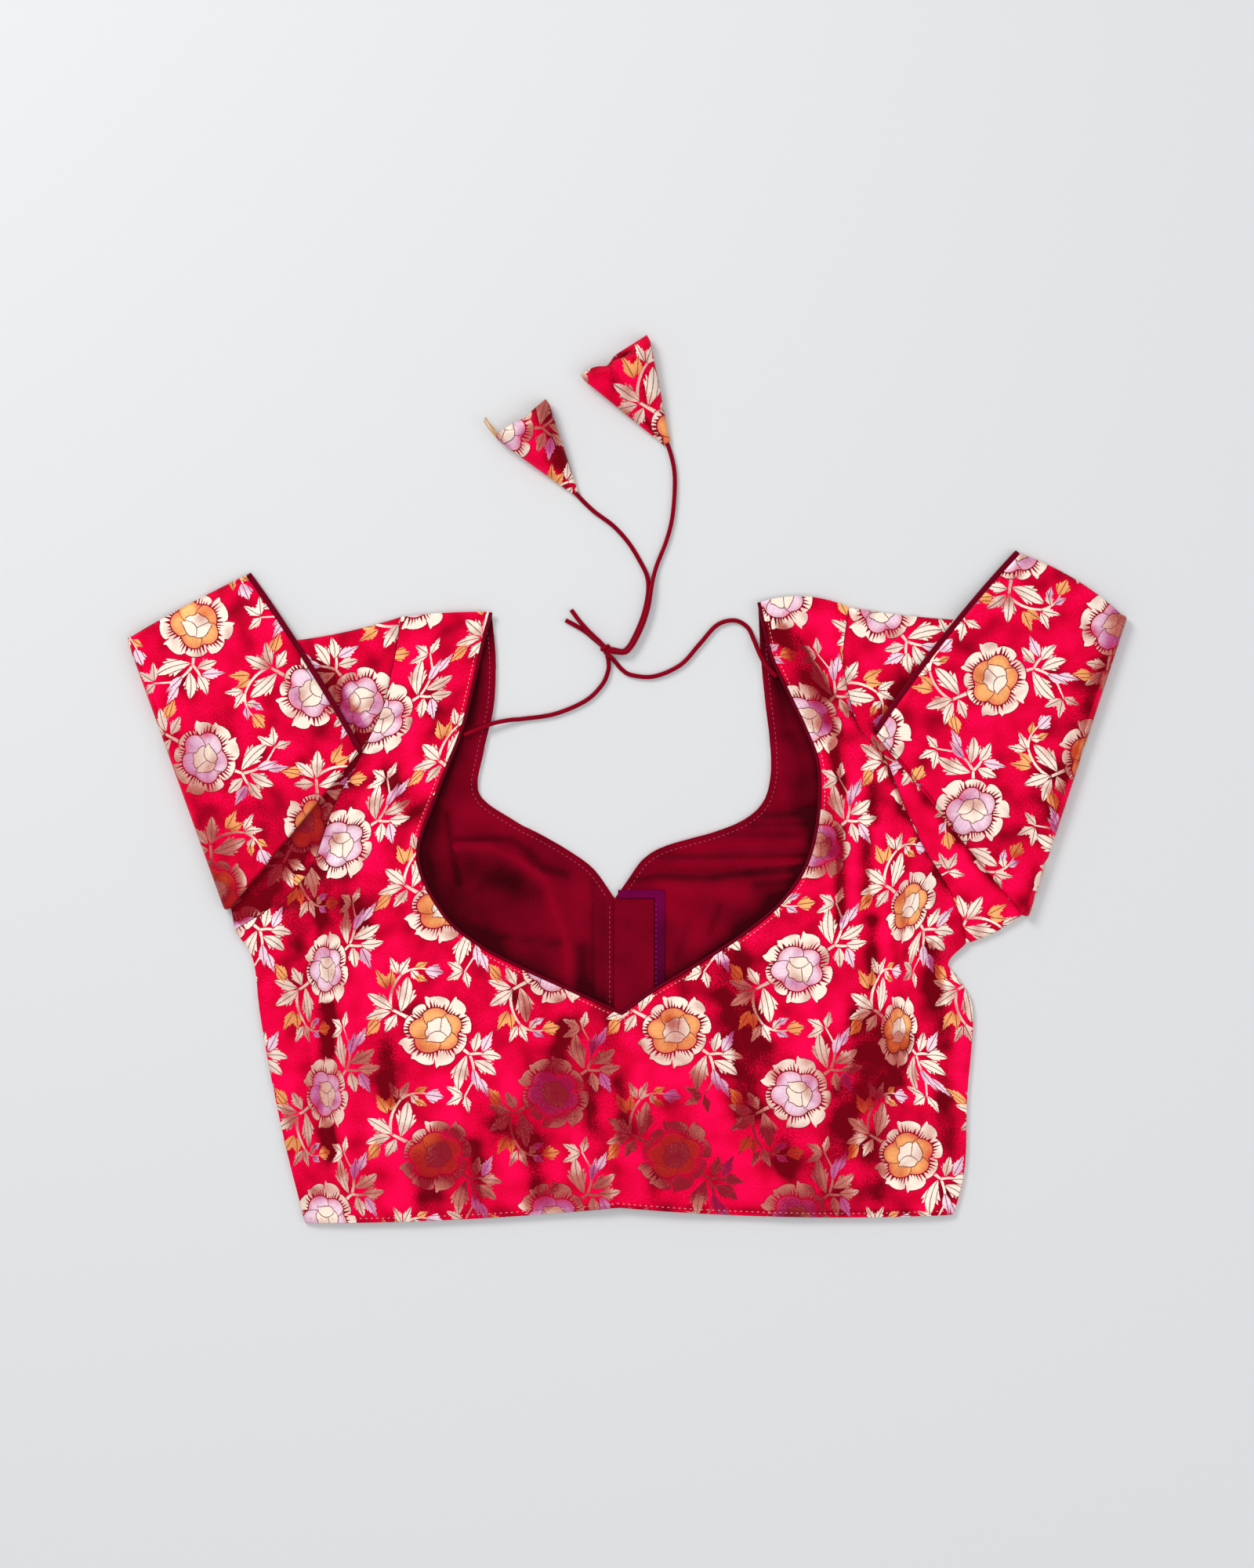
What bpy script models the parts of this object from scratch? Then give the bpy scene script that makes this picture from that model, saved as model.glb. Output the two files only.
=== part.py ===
"""A lined brocade sari blouse with a deep back neck, laid flat with its back uppermost.

Both sleeves lie out sideways and are folded back over themselves. The tie cords of
the back neck are knotted above it and end in two folded cloth tassels.
Tables and sizes are in millimetres. X runs to the right, Y towards the neck, Z up from
the surface that the blouse lies on.
"""
import math

import bmesh
import bpy
import numpy as np

MM = 0.001

# Cloth and seams
BROCADE_WALL = 1.2
FRONT_WALL = 1.0
LINING_WALL = 1.0
STRIP_WALL = 1.0
SEAM_GAP = 0.3
CORD_RADIUS = 1.1
PIPING_RADIUS = 1.05
ROW_STEPS = 2
CORD_STEPS = 12

# Levels of the layers above the surface
LINING_FLOOR = FRONT_WALL + SEAM_GAP
STRIP_FLOOR = LINING_FLOOR + LINING_WALL + SEAM_GAP
BACK_AT_ARMHOLE = STRIP_FLOOR
BACK_AT_NECK = 3.2
BACK_OVER_PLACKET = 4.4
BACK_AT_SIDE = FRONT_WALL + SEAM_GAP

# How far in from the edges the lining stops, and the back rises or turns down
LINING_INSET = 7.0
RISE_WIDTH = 26.0
TURN_WIDTH = 6.0
PLACKET_CENTRE, PLACKET_HALF, PLACKET_FADE = 7.5, 19.0, 40.0

# How folds fade: past their ends, in from the outer edge, in from the neck, on the lining
FOLD_END_FADE = 12.0
FOLD_FROM_OUTER, FOLD_OUTER_FADE = 2.0, 14.0
FOLD_FROM_NECK, FOLD_NECK_FADE = 1.0, 10.0
LINING_FOLD_FADE = 8.0
LINING_HEM_INSET = 1.0
BELOW_THE_NECK = 100.0

# Half a body a table: a row from the hem to the shoulder, with the point on the side
# seam and armhole, the point on the back's centre and neck, the same for the front,
# and how far the back's row bows towards the hem.
LEFT_ROWS = [
    # name, outer x, outer y, back x, back y, front x, front y, bow
    ("hem", -195.5, -204.0, -5.0, -194.5, -7.5, -194.5, 2.5),
    ("side_1", -207.0, -158.5, -4.0, -158.5, -7.5, -147.0, 1.0),
    ("side_2", -216.0, -116.0, -3.5, -128.0, -7.5, -99.5, 0.0),
    ("side_3", -223.0, -75.5, -3.0, -101.5, -7.5, -52.0, 0.0),
    ("back_v", -227.0, -44.5, -3.0, -78.0, -7.5, -7.0, 0.0),
    ("underarm", -238.0, -26.5, -37.0, -62.5, -20.0, 10.5, 0.0),
    ("arm_1", -218.5, -14.5, -63.5, -50.5, -35.5, 22.0, 0.0),
    ("arm_2", -202.0, -2.0, -90.0, -36.5, -52.0, 31.5, 0.0),
    ("arm_3", -190.0, 14.5, -112.5, -17.0, -69.0, 40.5, 0.0),
    ("arm_4", -178.0, 48.0, -128.0, 18.0, -89.5, 56.5, 0.0),
    ("arm_5", -160.0, 82.5, -116.5, 56.5, -87.0, 81.0, 0.0),
    ("arm_6", -147.5, 109.5, -102.0, 93.0, -81.0, 107.5, 0.0),
    ("arm_7", -143.5, 126.5, -94.5, 121.5, -79.5, 131.0, 0.0),
    ("arm_8", -139.5, 145.5, -89.0, 145.5, -80.0, 145.5, 0.0),
    ("shoulder", -137.0, 163.5, -83.5, 166.5, -82.0, 165.5, -1.0),
]
RIGHT_ROWS = [
    ("hem", 198.5, -199.0, -5.0, -194.5, -7.5, -194.5, 3.5),
    ("side_1", 205.0, -170.5, -4.0, -158.5, -7.5, -147.0, 2.0),
    ("side_2", 206.5, -128.0, -3.5, -128.0, -7.5, -99.5, 0.0),
    ("side_3", 210.0, -76.5, -3.0, -101.5, -7.5, -52.0, 0.0),
    ("back_v", 202.5, -57.5, -3.0, -78.0, -7.5, -7.0, 0.0),
    ("notch", 195.0, -46.5, 15.5, -64.5, 0.0, 3.5, 0.0),
    ("underarm", 205.5, -34.5, 33.0, -54.0, 9.5, 16.5, 0.0),
    ("arm_1", 202.5, -19.5, 51.0, -43.0, 21.5, 24.0, 0.0),
    ("arm_2", 194.0, 0.5, 73.5, -28.0, 38.0, 29.0, 0.0),
    ("arm_3", 180.5, 23.0, 94.5, -10.0, 54.0, 33.5, 0.0),
    ("arm_4", 171.0, 42.0, 110.0, 13.5, 71.5, 41.0, 0.0),
    ("arm_5", 163.0, 62.0, 117.0, 43.0, 82.5, 51.5, 0.0),
    ("arm_6", 155.5, 79.5, 117.0, 74.0, 87.0, 67.5, 0.0),
    ("arm_7", 141.0, 95.5, 109.0, 96.5, 86.5, 88.5, 0.0),
    ("arm_8", 134.0, 118.0, 99.0, 117.5, 84.0, 109.5, 0.0),
    ("arm_9", 131.0, 140.5, 88.0, 142.0, 81.0, 140.0, 0.0),
    ("shoulder", 134.5, 169.5, 81.0, 172.5, 79.5, 171.0, -5.0),
]
V_ROW = 4
UNDERARM_ROW = {"left": 5, "right": 6}
ROWS = {"left": LEFT_ROWS, "right": RIGHT_ROWS}

# Soft folds of the back: a ridge along a line, its half width and its height
BACK_FOLDS = [
    # name, x0, y0, x1, y1, half width, height
    ("left_dart", -188.0, -28.0, -187.0, -172.0, 10.0, 2.6),
    ("left_dart_inner", -166.0, -40.0, -162.0, -150.0, 12.0, 1.4),
    ("right_dart", 160.0, -6.0, 161.0, -98.0, 8.0, 3.0),
    ("right_side", 176.0, -60.0, 192.0, -110.0, 10.0, 2.4),
    ("right_armpit", 176.0, 12.0, 190.0, -38.0, 9.0, 4.0),
    ("right_drape", 128.0, 30.0, 131.0, -50.0, 8.0, 2.4),
    ("right_shoulder", 106.0, 136.0, 126.0, 104.0, 7.0, 2.2),
    ("left_armpit", -136.0, 62.0, -158.0, 46.0, 8.0, 2.4),
    ("left_underarm", -176.0, 8.0, -206.0, -28.0, 10.0, 2.6),
    ("hem_left", -140.0, -150.0, -128.0, -188.0, 14.0, 1.6),
    ("hem_middle", -40.0, -120.0, -48.0, -180.0, 16.0, 1.4),
    ("hem_right", 96.0, -140.0, 104.0, -186.0, 15.0, 1.8),
    ("lower_right", 150.0, -128.0, 158.0, -180.0, 12.0, 1.6),
]
# Creases of the lining that shows in the neck
LINING_FOLDS = [
    ("left_tuck", -108.0, 36.0, -103.0, 4.0, 3.5, 0.8),
    ("left_cross", -98.0, 27.0, -74.0, 26.0, 4.5, 0.8),
    ("left_low", -88.0, -30.0, -52.0, -34.0, 4.0, 0.6),
    ("right_cross", 52.0, 14.0, 96.0, 18.0, 5.0, 0.8),
    ("right_upper", 88.0, 44.0, 104.0, 42.0, 5.0, 0.6),
]

# Sleeves: corners of the folded-back leg as seen from above, and how far its edges bow
SLEEVES = {
    "left": {
        "fold_top": (-303.5, 150.5),
        "fold_bottom": (-244.0, -14.5),
        "hem_top": (-228.5, 190.5),
        "hem_bottom": (-160.0, 82.5),
        "first_top_bow": -10.0,
        "first_bottom_bow": 0.0,
        "second_top_bow": 1.0,
        "hem_bow": 2.0,
    },
    "right": {
        "fold_top": (303.4, 163.5),
        "fold_bottom": (243.5, -18.5),
        "hem_top": (236.0, 204.0),
        "hem_bottom": (148.5, 93.5),
        "first_top_bow": -6.0,
        "first_bottom_bow": -2.0,
        "second_top_bow": 4.0,
        "hem_bow": 3.0,
    },
}
SLEEVE_HALF = 1.9
SLEEVE_FOLD_RADIUS = 2.15
SLEEVE_CROWN = 1.2
SLEEVE_DROP, SLEEVE_DROP_START, SLEEVE_DROP_WIDTH = 3.4, 3.0, 28.0
SLEEVE_BAND_WIDTH = 3.0
FIRST_LEG_RINGS, FOLD_RINGS, SECOND_LEG_RINGS = 4, 6, 7
EDGE_SAMPLES = 8

# Placket strips on the lining: corners of each outline
PLACKET_STRIP = [(-8.0, -7.5), (16.5, -7.5), (16.5, -192.0), (-8.0, -192.0)]
UNDERLAP_EDGE = [
    (-5.5, -2.0), (23.0, -2.0), (23.0, -192.0), (16.8, -192.0), (16.8, -7.2), (-5.5, -7.2),
]

# Tie cords, from where they leave the neck edge to the knot, then on to the tassels
CORD_ROUTES = {
    # x, y, z of points by hand along each cord
    "dori_left": [
        (-98.7, 91.9, 4.2), (-90.0, 95.5, 4.1), (-81.0, 99.0, 3.9), (-71.0, 101.0, 2.6),
        (-62.5, 101.8, 1.1), (-43.5, 104.8, 1.1), (-25.0, 112.8, 1.1), (-15.0, 122.6, 1.1),
        (-11.4, 131.0, 1.1), (-11.0, 136.4, 1.6),
    ],
    "dori_right": [
        (90.5, 127.4, 4.2), (87.2, 130.6, 4.1), (83.0, 136.0, 3.9), (79.6, 143.0, 3.6),
        (76.8, 150.0, 2.2), (73.0, 157.5, 1.1), (65.0, 161.5, 1.1), (54.5, 158.5, 1.1),
        (44.0, 147.0, 1.1), (32.5, 134.5, 1.1), (16.5, 127.5, 1.1), (2.5, 128.0, 1.1),
        (-4.6, 132.6, 1.1), (-7.4, 136.6, 1.6),
    ],
    "tail_left": [
        (-6.6, 144.0, 1.6), (-2.0, 143.9, 1.1), (2.0, 147.0, 1.1), (6.4, 155.0, 1.1),
        (10.2, 164.0, 1.1), (12.3, 174.0, 1.1), (12.6, 184.5, 1.1), (8.6, 196.5, 1.1),
        (1.0, 208.5, 1.1), (-8.5, 219.0, 1.1), (-20.5, 228.0, 1.1), (-31.0, 238.5, 1.7),
    ],
    "tail_right": [
        (-6.6, 140.8, 1.6), (-1.0, 141.0, 1.1), (4.6, 145.0, 1.1), (9.4, 153.4, 1.1),
        (13.0, 162.6, 1.1), (15.0, 173.0, 1.1), (15.6, 184.0, 1.1), (18.5, 195.0, 1.1),
        (24.0, 210.0, 1.1), (27.5, 224.0, 1.1), (29.0, 242.0, 1.1), (28.3, 255.0, 1.1),
        (24.5, 268.5, 1.7),
    ],
    "bow_end_upper": [
        (-13.6, 144.6, 1.6), (-18.4, 149.6, 1.1), (-23.4, 155.4, 1.1), (-28.4, 161.6, 1.1),
        (-33.5, 167.5, 1.1),
    ],
    "bow_end_lower": [
        (-14.6, 141.6, 1.6), (-19.6, 145.8, 1.1), (-25.0, 150.4, 1.1), (-30.6, 155.6, 1.1),
        (-36.0, 161.0, 1.1),
    ],
}
CORD_SPAN = 5.5
KNOT_CENTRE = (-10.3, 141.2, 2.7)
KNOT_RADII = (3.1, 4.0, 2.7)

# Tassels: the point where the cord enters, the middle of the wide mouth, half widths
TASSELS = {
    "tassel_left": {
        "tip": (-31.0, 238.5), "mouth": (-64.5, 284.0), "half_width": 19.5, "notch": 1.5,
    },
    "tassel_right": {
        "tip": (24.5, 268.5), "mouth": (-8.0, 322.0), "half_width": 24.0, "notch": 8.0,
    },
}
TASSEL_SIDES = 16
TASSEL_MOUTH_DEPTH = 6.0
TASSEL_TIP_GAP = 0.5
NOTCH_PLACE, NOTCH_WIDTH = -0.15, 0.45
TASSEL_ROWS = [
    # share of the length, share of the half width, half height
    (0.00, 0.10, 1.7),
    (0.08, 0.17, 2.3),
    (0.25, 0.33, 3.6),
    (0.50, 0.57, 5.0),
    (0.75, 0.80, 6.0),
    (0.93, 0.97, 6.2),
    (1.00, 0.98, 5.2),
]

BLOUSE = bpy.data.collections.new("backless_blouse")


def clear_scene():
    """Removes what the new file holds."""
    for thing in list(bpy.data.objects):
        bpy.data.objects.remove(thing)


def fabric(name, colour, roughness, metallic=0.0):
    """A plain finish in the piece's own colour."""
    material = bpy.data.materials.new(name)
    material.use_nodes = True
    shader = material.node_tree.nodes["Principled BSDF"]
    shader.inputs["Base Color"].default_value = (*colour, 1.0)
    shader.inputs["Roughness"].default_value = roughness
    shader.inputs["Metallic"].default_value = metallic
    return material


def finish(mesh, name, material):
    """Turns a closed mesh in millimetres into a named object of the blouse."""
    bmesh.ops.scale(mesh, vec=(MM, MM, MM), verts=mesh.verts)
    bmesh.ops.remove_doubles(mesh, verts=mesh.verts, dist=0.00001)
    bmesh.ops.recalc_face_normals(mesh, faces=mesh.faces)
    data = bpy.data.meshes.new(name)
    mesh.to_mesh(data)
    mesh.free()
    data.materials.append(material)
    piece = bpy.data.objects.new(name, data)
    BLOUSE.objects.link(piece)
    return piece


def ease(value):
    """0 below 0, 1 above 1, and a soft step between."""
    t = min(max(value, 0.0), 1.0)
    return t * t * (3.0 - 2.0 * t)


def through(points, steps, corners=()):
    """Points on a smooth curve through the given ones, which turns sharply at a corner."""
    points = [np.array(p, float) for p in points]
    last = len(points) - 1
    curve = []
    for i in range(last):
        a, b = points[i], points[i + 1]
        slope_a = (b - points[i - 1]) / 2 if i > 0 and i not in corners else b - a
        slope_b = (points[i + 2] - a) / 2 if i + 1 < last and i + 1 not in corners else b - a
        for k in range(steps):
            t = k / steps
            curve.append(
                (2 * t**3 - 3 * t**2 + 1) * a
                + (t**3 - 2 * t**2 + t) * slope_a
                + (3 * t**2 - 2 * t**3) * b
                + (t**3 - t**2) * slope_b
            )
    curve.append(points[-1])
    return curve


def ridge(x, y, folds):
    """Height of the folds at a point: each is a soft ridge that fades at both ends."""
    height = 0.0
    for _, x0, y0, x1, y1, half_width, top in folds:
        along = np.array([x1 - x0, y1 - y0])
        length = np.linalg.norm(along)
        along = along / length
        offset = np.array([x - x0, y - y0])
        s = float(offset @ along)
        across = abs(float(offset[0] * along[1] - offset[1] * along[0]))
        beyond = max(-s, s - length, 0.0)
        fading = (across / half_width) ** 2 + (beyond / FOLD_END_FADE) ** 2
        height = max(height, top * math.exp(-fading))
    return height


def edge_curve(side, column):
    """One of a body half's edges: 'outer', 'back' or 'front', from hem to shoulder."""
    first = {"outer": 1, "back": 3, "front": 5}[column]
    points = [(row[first], row[first + 1]) for row in ROWS[side]]
    corners = (UNDERARM_ROW[side],) if column == "outer" else (V_ROW,)
    return through(points, ROW_STEPS, corners)


def bows(side):
    """How far each row of a body half bows towards the hem."""
    return [float(b[0]) for b in through([(row[7],) for row in ROWS[side]], ROW_STEPS)]


def back_under(side, x, y, from_outer, from_inner, row):
    """Level of the back's underside, low at the armhole and down to the front at the side."""
    placket = ease((PLACKET_FADE + PLACKET_HALF - abs(x - PLACKET_CENTRE)) / PLACKET_FADE)
    inner = BACK_AT_NECK + (BACK_OVER_PLACKET - BACK_AT_NECK) * placket
    level = BACK_AT_ARMHOLE + (inner - BACK_AT_ARMHOLE) * ease(from_outer / RISE_WIDTH)
    below_underarm = ease((UNDERARM_ROW[side] * ROW_STEPS - row) / ROW_STEPS)
    at_seam = 1.0 - ease(from_outer / TURN_WIDTH)
    turn_down = (BACK_AT_ARMHOLE - BACK_AT_SIDE) * at_seam * below_underarm
    outer_fade = ease((from_outer - FOLD_FROM_OUTER) / FOLD_OUTER_FADE)
    neck_fade = ease((from_inner - FOLD_FROM_NECK) / FOLD_NECK_FADE)
    return level - turn_down + ridge(x, y, BACK_FOLDS) * outer_fade * neck_fade


def sheet(mesh, rows_of_points):
    """Adds a sheet of faces through rows of points."""
    rows = [[mesh.verts.new(tuple(p)) for p in row] for row in rows_of_points]
    for low, high in zip(rows, rows[1:]):
        for k in range(len(low) - 1):
            mesh.faces.new((low[k], low[k + 1], high[k + 1], high[k]))


def raise_wall(mesh, wall):
    """Extrudes every face of a sheet straight up by the wall into a closed body."""
    bmesh.ops.remove_doubles(mesh, verts=mesh.verts, dist=0.001)
    grown = bmesh.ops.extrude_face_region(mesh, geom=list(mesh.faces), use_keep_orig=True)
    raised = [item for item in grown["geom"] if isinstance(item, bmesh.types.BMVert)]
    bmesh.ops.translate(mesh, verts=raised, vec=(0.0, 0.0, wall))


BACK_COLUMNS = [0.0, 0.06, 0.15, 0.25, 0.35, 0.45, 0.55, 0.65, 0.74, 0.82, 0.89, 0.95, 0.98, 1.0]


def back_rows(side):
    """Rows of points on the back's underside, each from the centre or neck to the edge."""
    outer, inner = edge_curve(side, "outer"), edge_curve(side, "back")
    rows = []
    for number, (o, i, bow) in enumerate(zip(outer, inner, bows(side))):
        width = float(np.linalg.norm(o - i))
        row = []
        for u in BACK_COLUMNS:
            x, y = i + (o - i) * u
            y -= bow * 4.0 * u * (1.0 - u)
            from_inner = u * width if number > V_ROW * ROW_STEPS else BELOW_THE_NECK
            z = back_under(side, x, y, (1.0 - u) * width, from_inner, number)
            row.append((x, y, z))
        rows.append(row)
    return rows


def make_back(material):
    """The back: both halves in one piece, with the deep neck between the straps."""
    mesh = bmesh.new()
    for side in ROWS:
        sheet(mesh, back_rows(side))
    raise_wall(mesh, BROCADE_WALL)
    return finish(mesh, "back_panel", material)


def offset_line(points, distance):
    """The same line moved sideways to its left, mitred so that the gap stays even."""
    points = [np.array(p, float)[:2] for p in points]
    moved = []
    for k, p in enumerate(points):
        before = p - points[k - 1] if k > 0 else points[1] - p
        after = points[k + 1] - p if k + 1 < len(points) else p - points[k - 1]
        before, after = before / np.linalg.norm(before), after / np.linalg.norm(after)
        normals = np.array([-before[1], before[0]]), np.array([-after[1], after[0]])
        mitre = normals[0] + normals[1]
        mitre = mitre / np.linalg.norm(mitre)
        moved.append(p + mitre * distance / max(float(mitre @ normals[0]), 0.5))
    return moved


def make_front(side, material):
    """One front of brocade, face down on the surface, open at the centre."""
    outer, inner = edge_curve(side, "outer"), edge_curve(side, "front")
    shift = -SEAM_GAP / 2 if side == "left" else SEAM_GAP / 2
    mesh = bmesh.new()
    rows = []
    for o, i in zip(outer, inner):
        rows.append([(i[0] + shift, i[1], 0.0), (o[0], o[1], 0.0)])
    sheet(mesh, rows)
    raise_wall(mesh, FRONT_WALL)
    return finish(mesh, "front_" + side, material)


LINING_COLUMNS = [0.0, 0.1, 0.2, 0.3, 0.4, 0.5, 0.65, 0.8, 1.0]


def make_lining(side, material):
    """The front's lining, which shows in the neck: it lies on the brocade, a little inside."""
    outer, inner = edge_curve(side, "outer"), edge_curve(side, "front")
    shift = -SEAM_GAP / 2 if side == "left" else SEAM_GAP / 2
    inset_at = {0: LINING_HEM_INSET, len(outer) - 1: -LINING_HEM_INSET}
    mesh = bmesh.new()
    rows = []
    for number, (o, i) in enumerate(zip(outer, inner)):
        width = float(np.linalg.norm(o - i))
        row = []
        for u in LINING_COLUMNS:
            x, y = i + (o - i) * (u * (1.0 - LINING_INSET / width))
            y += inset_at.get(number, 0.0)
            z = LINING_FLOOR + ridge(x, y, LINING_FOLDS) * ease(u * width / LINING_FOLD_FADE)
            row.append((x + shift, y, z))
        rows.append(row)
    sheet(mesh, rows)
    raise_wall(mesh, LINING_WALL)
    return finish(mesh, "front_lining_" + side, material)


def make_strip(name, corners, material):
    """A flat strip of the centre-front placket, from its outline."""
    mesh = bmesh.new()
    mesh.faces.new([mesh.verts.new((x, y, STRIP_FLOOR)) for x, y in corners])
    raise_wall(mesh, STRIP_WALL)
    return finish(mesh, name, material)


def spread_along(points, distance_from_start):
    """The point at a distance along a line of points, and past its end the last one."""
    left_over = distance_from_start
    for a, b in zip(points, points[1:]):
        length = float(np.linalg.norm(b - a))
        if left_over <= length:
            return a + (b - a) * (left_over / length)
        left_over -= length
    return points[-1]


def round_section(spine, half, end_inset):
    """A flattened tube's section: points of its spine, each with a level from -1 to 1.

    The spine runs from the top edge to the underarm edge. Both edges are round."""
    reverse = spine[::-1]
    turn = 1.0 - math.sqrt(0.5)
    start = [
        (spread_along(spine, end_inset), 0.0),
        (spread_along(spine, end_inset + half * turn), math.sqrt(0.5)),
        (spread_along(spine, end_inset + half), 1.0),
    ]
    end = [
        (spread_along(reverse, end_inset + half), 1.0),
        (spread_along(reverse, end_inset + half * turn), math.sqrt(0.5)),
        (spread_along(reverse, end_inset), 0.0),
    ]
    top = start + [(p, 1.0) for p in spine[1:-1]] + end
    bottom = [(p, -level) for p, level in top[-2:0:-1]]
    return top + bottom


def armhole(side):
    """The sleeve's seam line at the armhole, from the shoulder to the underarm."""
    outer = edge_curve(side, "outer")[UNDERARM_ROW[side] * ROW_STEPS:]
    away = SEAM_GAP if side == "left" else -SEAM_GAP
    return offset_line(outer, away)[::-1]


def edge_bow(amount, s, a, b):
    """A shift sideways, largest in the middle of the way from a to b, upwards if positive."""
    way = (b - a) / np.linalg.norm(b - a)
    normal = np.array([-way[1], way[0]])
    if normal[1] < 0:
        normal = -normal
    return normal * amount * 4.0 * s * (1.0 - s)


class Sleeve:
    """A flattened tube that lies out from the armhole and is folded back over itself."""

    def __init__(self, side):
        size = SLEEVES[side]
        self.size = size
        top, bottom = np.array(size["fold_top"]), np.array(size["fold_bottom"])
        down = (bottom - top) / np.linalg.norm(bottom - top)
        outward = np.array([-down[1], down[0]])
        if outward[0] * top[0] < 0:
            outward = -outward
        self.outward = outward
        reach = SLEEVE_FOLD_RADIUS + SLEEVE_HALF
        top, bottom = top - outward * reach, bottom - outward * reach
        self.seam = armhole(side)
        lengths = [0.0]
        for a, b in zip(self.seam, self.seam[1:]):
            lengths.append(lengths[-1] + float(np.linalg.norm(b - a)))
        self.shares = [length / lengths[-1] for length in lengths]
        self.fold = [top + (bottom - top) * v for v in self.shares]
        hem_top, hem_bottom = np.array(size["hem_top"]), np.array(size["hem_bottom"])
        across = (hem_bottom - hem_top) / np.linalg.norm(hem_bottom - hem_top)
        self.past_hem = np.array([-across[1], across[0]])
        if float(self.past_hem @ (hem_top - top)) < 0:
            self.past_hem = -self.past_hem
        self.hem = []
        for v in self.shares:
            past = size["hem_bow"] * 4 * v * (1 - v) - SLEEVE_BAND_WIDTH - SEAM_GAP
            self.hem.append(hem_top + (hem_bottom - hem_top) * v + self.past_hem * past)

    def first_leg(self, s):
        """The line across the first leg, s from 0 at the armhole to 1 at the fold."""
        spine = []
        for a, f, v in zip(self.seam, self.fold, self.shares):
            p = a + (f - a) * s
            p = p + (1 - v) * edge_bow(self.size["first_top_bow"], s, self.seam[0], self.fold[0])
            p = p + v * edge_bow(self.size["first_bottom_bow"], s, self.seam[-1], self.fold[-1])
            spine.append(p)
        return spine

    def second_leg(self, s):
        """The line across the folded-back leg, s from 0 at the fold to 1 at the hem."""
        spine = []
        for f, h, v in zip(self.fold, self.hem, self.shares):
            bow = edge_bow(self.size["second_top_bow"], s, self.fold[0], self.hem[0])
            spine.append(f + (h - f) * s + (1 - v) * bow)
        return spine

    def lowered(self, p):
        """How far the folded-back leg sinks where the first leg is no longer under it."""
        steps = [self.first_leg(k / EDGE_SAMPLES)[0] for k in range(EDGE_SAMPLES + 1)]
        steps.sort(key=lambda q: q[0])
        edge = float(np.interp(p[0], [q[0] for q in steps], [q[1] for q in steps]))
        return SLEEVE_DROP * ease((p[1] - edge - SLEEVE_DROP_START) / SLEEVE_DROP_WIDTH)

    def ring(self, place, s, half, end_inset, shift=(0.0, 0.0)):
        """One ring of points: place is 'first', 'fold' or 'second', s runs from 0 to 1 there."""
        first_level = SLEEVE_HALF
        second_level = SLEEVE_HALF + 2 * SLEEVE_FOLD_RADIUS
        ring = []
        if place == "second":
            spine = self.second_leg(s)
            section = round_section(spine, half, end_inset)
            last_below = len(spine) + 3
            for number, (p, level) in enumerate(section):
                p = p + np.array(shift)
                across = max(number - last_below, 0) / (len(section) - last_below)
                crown = SLEEVE_CROWN * math.sin(math.pi * across) * math.sin(math.pi * s)
                ring.append((p[0], p[1], second_level - level * half + crown - self.lowered(p)))
            return ring
        spine = self.first_leg(s) if place == "first" else self.fold
        angle = math.pi * s if place == "fold" else 0.0
        swing = self.outward * math.sin(angle) * SLEEVE_FOLD_RADIUS
        lift = SLEEVE_FOLD_RADIUS * (1 - math.cos(angle))
        for p, level in round_section(spine, half, end_inset):
            p = p + swing - self.outward * math.sin(angle) * level * half
            ring.append((p[0], p[1], first_level + lift + math.cos(angle) * level * half))
        return ring

    def stations(self):
        """Every ring of the sleeve, from the armhole round the fold to the hem."""
        first = [("first", k / FIRST_LEG_RINGS) for k in range(FIRST_LEG_RINGS)]
        fold = [("fold", k / FOLD_RINGS) for k in range(FOLD_RINGS)]
        second = [("second", k / SECOND_LEG_RINGS) for k in range(SECOND_LEG_RINGS + 1)]
        return first + fold + second


def tube_wall(mesh, outer_rings, inner_rings):
    """Closes rings of an outside and an inside into one wall, open through its middle."""
    outside = [[mesh.verts.new(p) for p in ring] for ring in outer_rings]
    inside = [[mesh.verts.new(p) for p in ring] for ring in inner_rings]
    count = len(outside[0])
    for skin in (outside, inside):
        for low, high in zip(skin, skin[1:]):
            for k in range(count):
                n = (k + 1) % count
                mesh.faces.new((low[k], low[n], high[n], high[k]))
    for outer, inner in ((outside[0], inside[0]), (outside[-1], inside[-1])):
        for k in range(count):
            n = (k + 1) % count
            mesh.faces.new((outer[k], outer[n], inner[n], inner[k]))


def make_sleeve(side, cloth, binding):
    """The sleeve and the narrow bound edge of its hem."""
    sleeve = Sleeve(side)
    inner_half = SLEEVE_HALF - BROCADE_WALL
    mesh = bmesh.new()
    outer = [sleeve.ring(place, s, SLEEVE_HALF, 0.0) for place, s in sleeve.stations()]
    inner = [sleeve.ring(place, s, inner_half, BROCADE_WALL) for place, s in sleeve.stations()]
    tube_wall(mesh, outer, inner)
    finish(mesh, "sleeve_" + side, cloth)
    mesh = bmesh.new()
    reaches = (SEAM_GAP, SEAM_GAP + SLEEVE_BAND_WIDTH)
    shifts = [tuple(sleeve.past_hem * reach) for reach in reaches]
    outer = [sleeve.ring("second", 1.0, SLEEVE_HALF, 0.0, shift) for shift in shifts]
    inner = [sleeve.ring("second", 1.0, inner_half, BROCADE_WALL, shift) for shift in shifts]
    tube_wall(mesh, outer, inner)
    finish(mesh, "sleeve_binding_" + side, binding)


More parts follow.
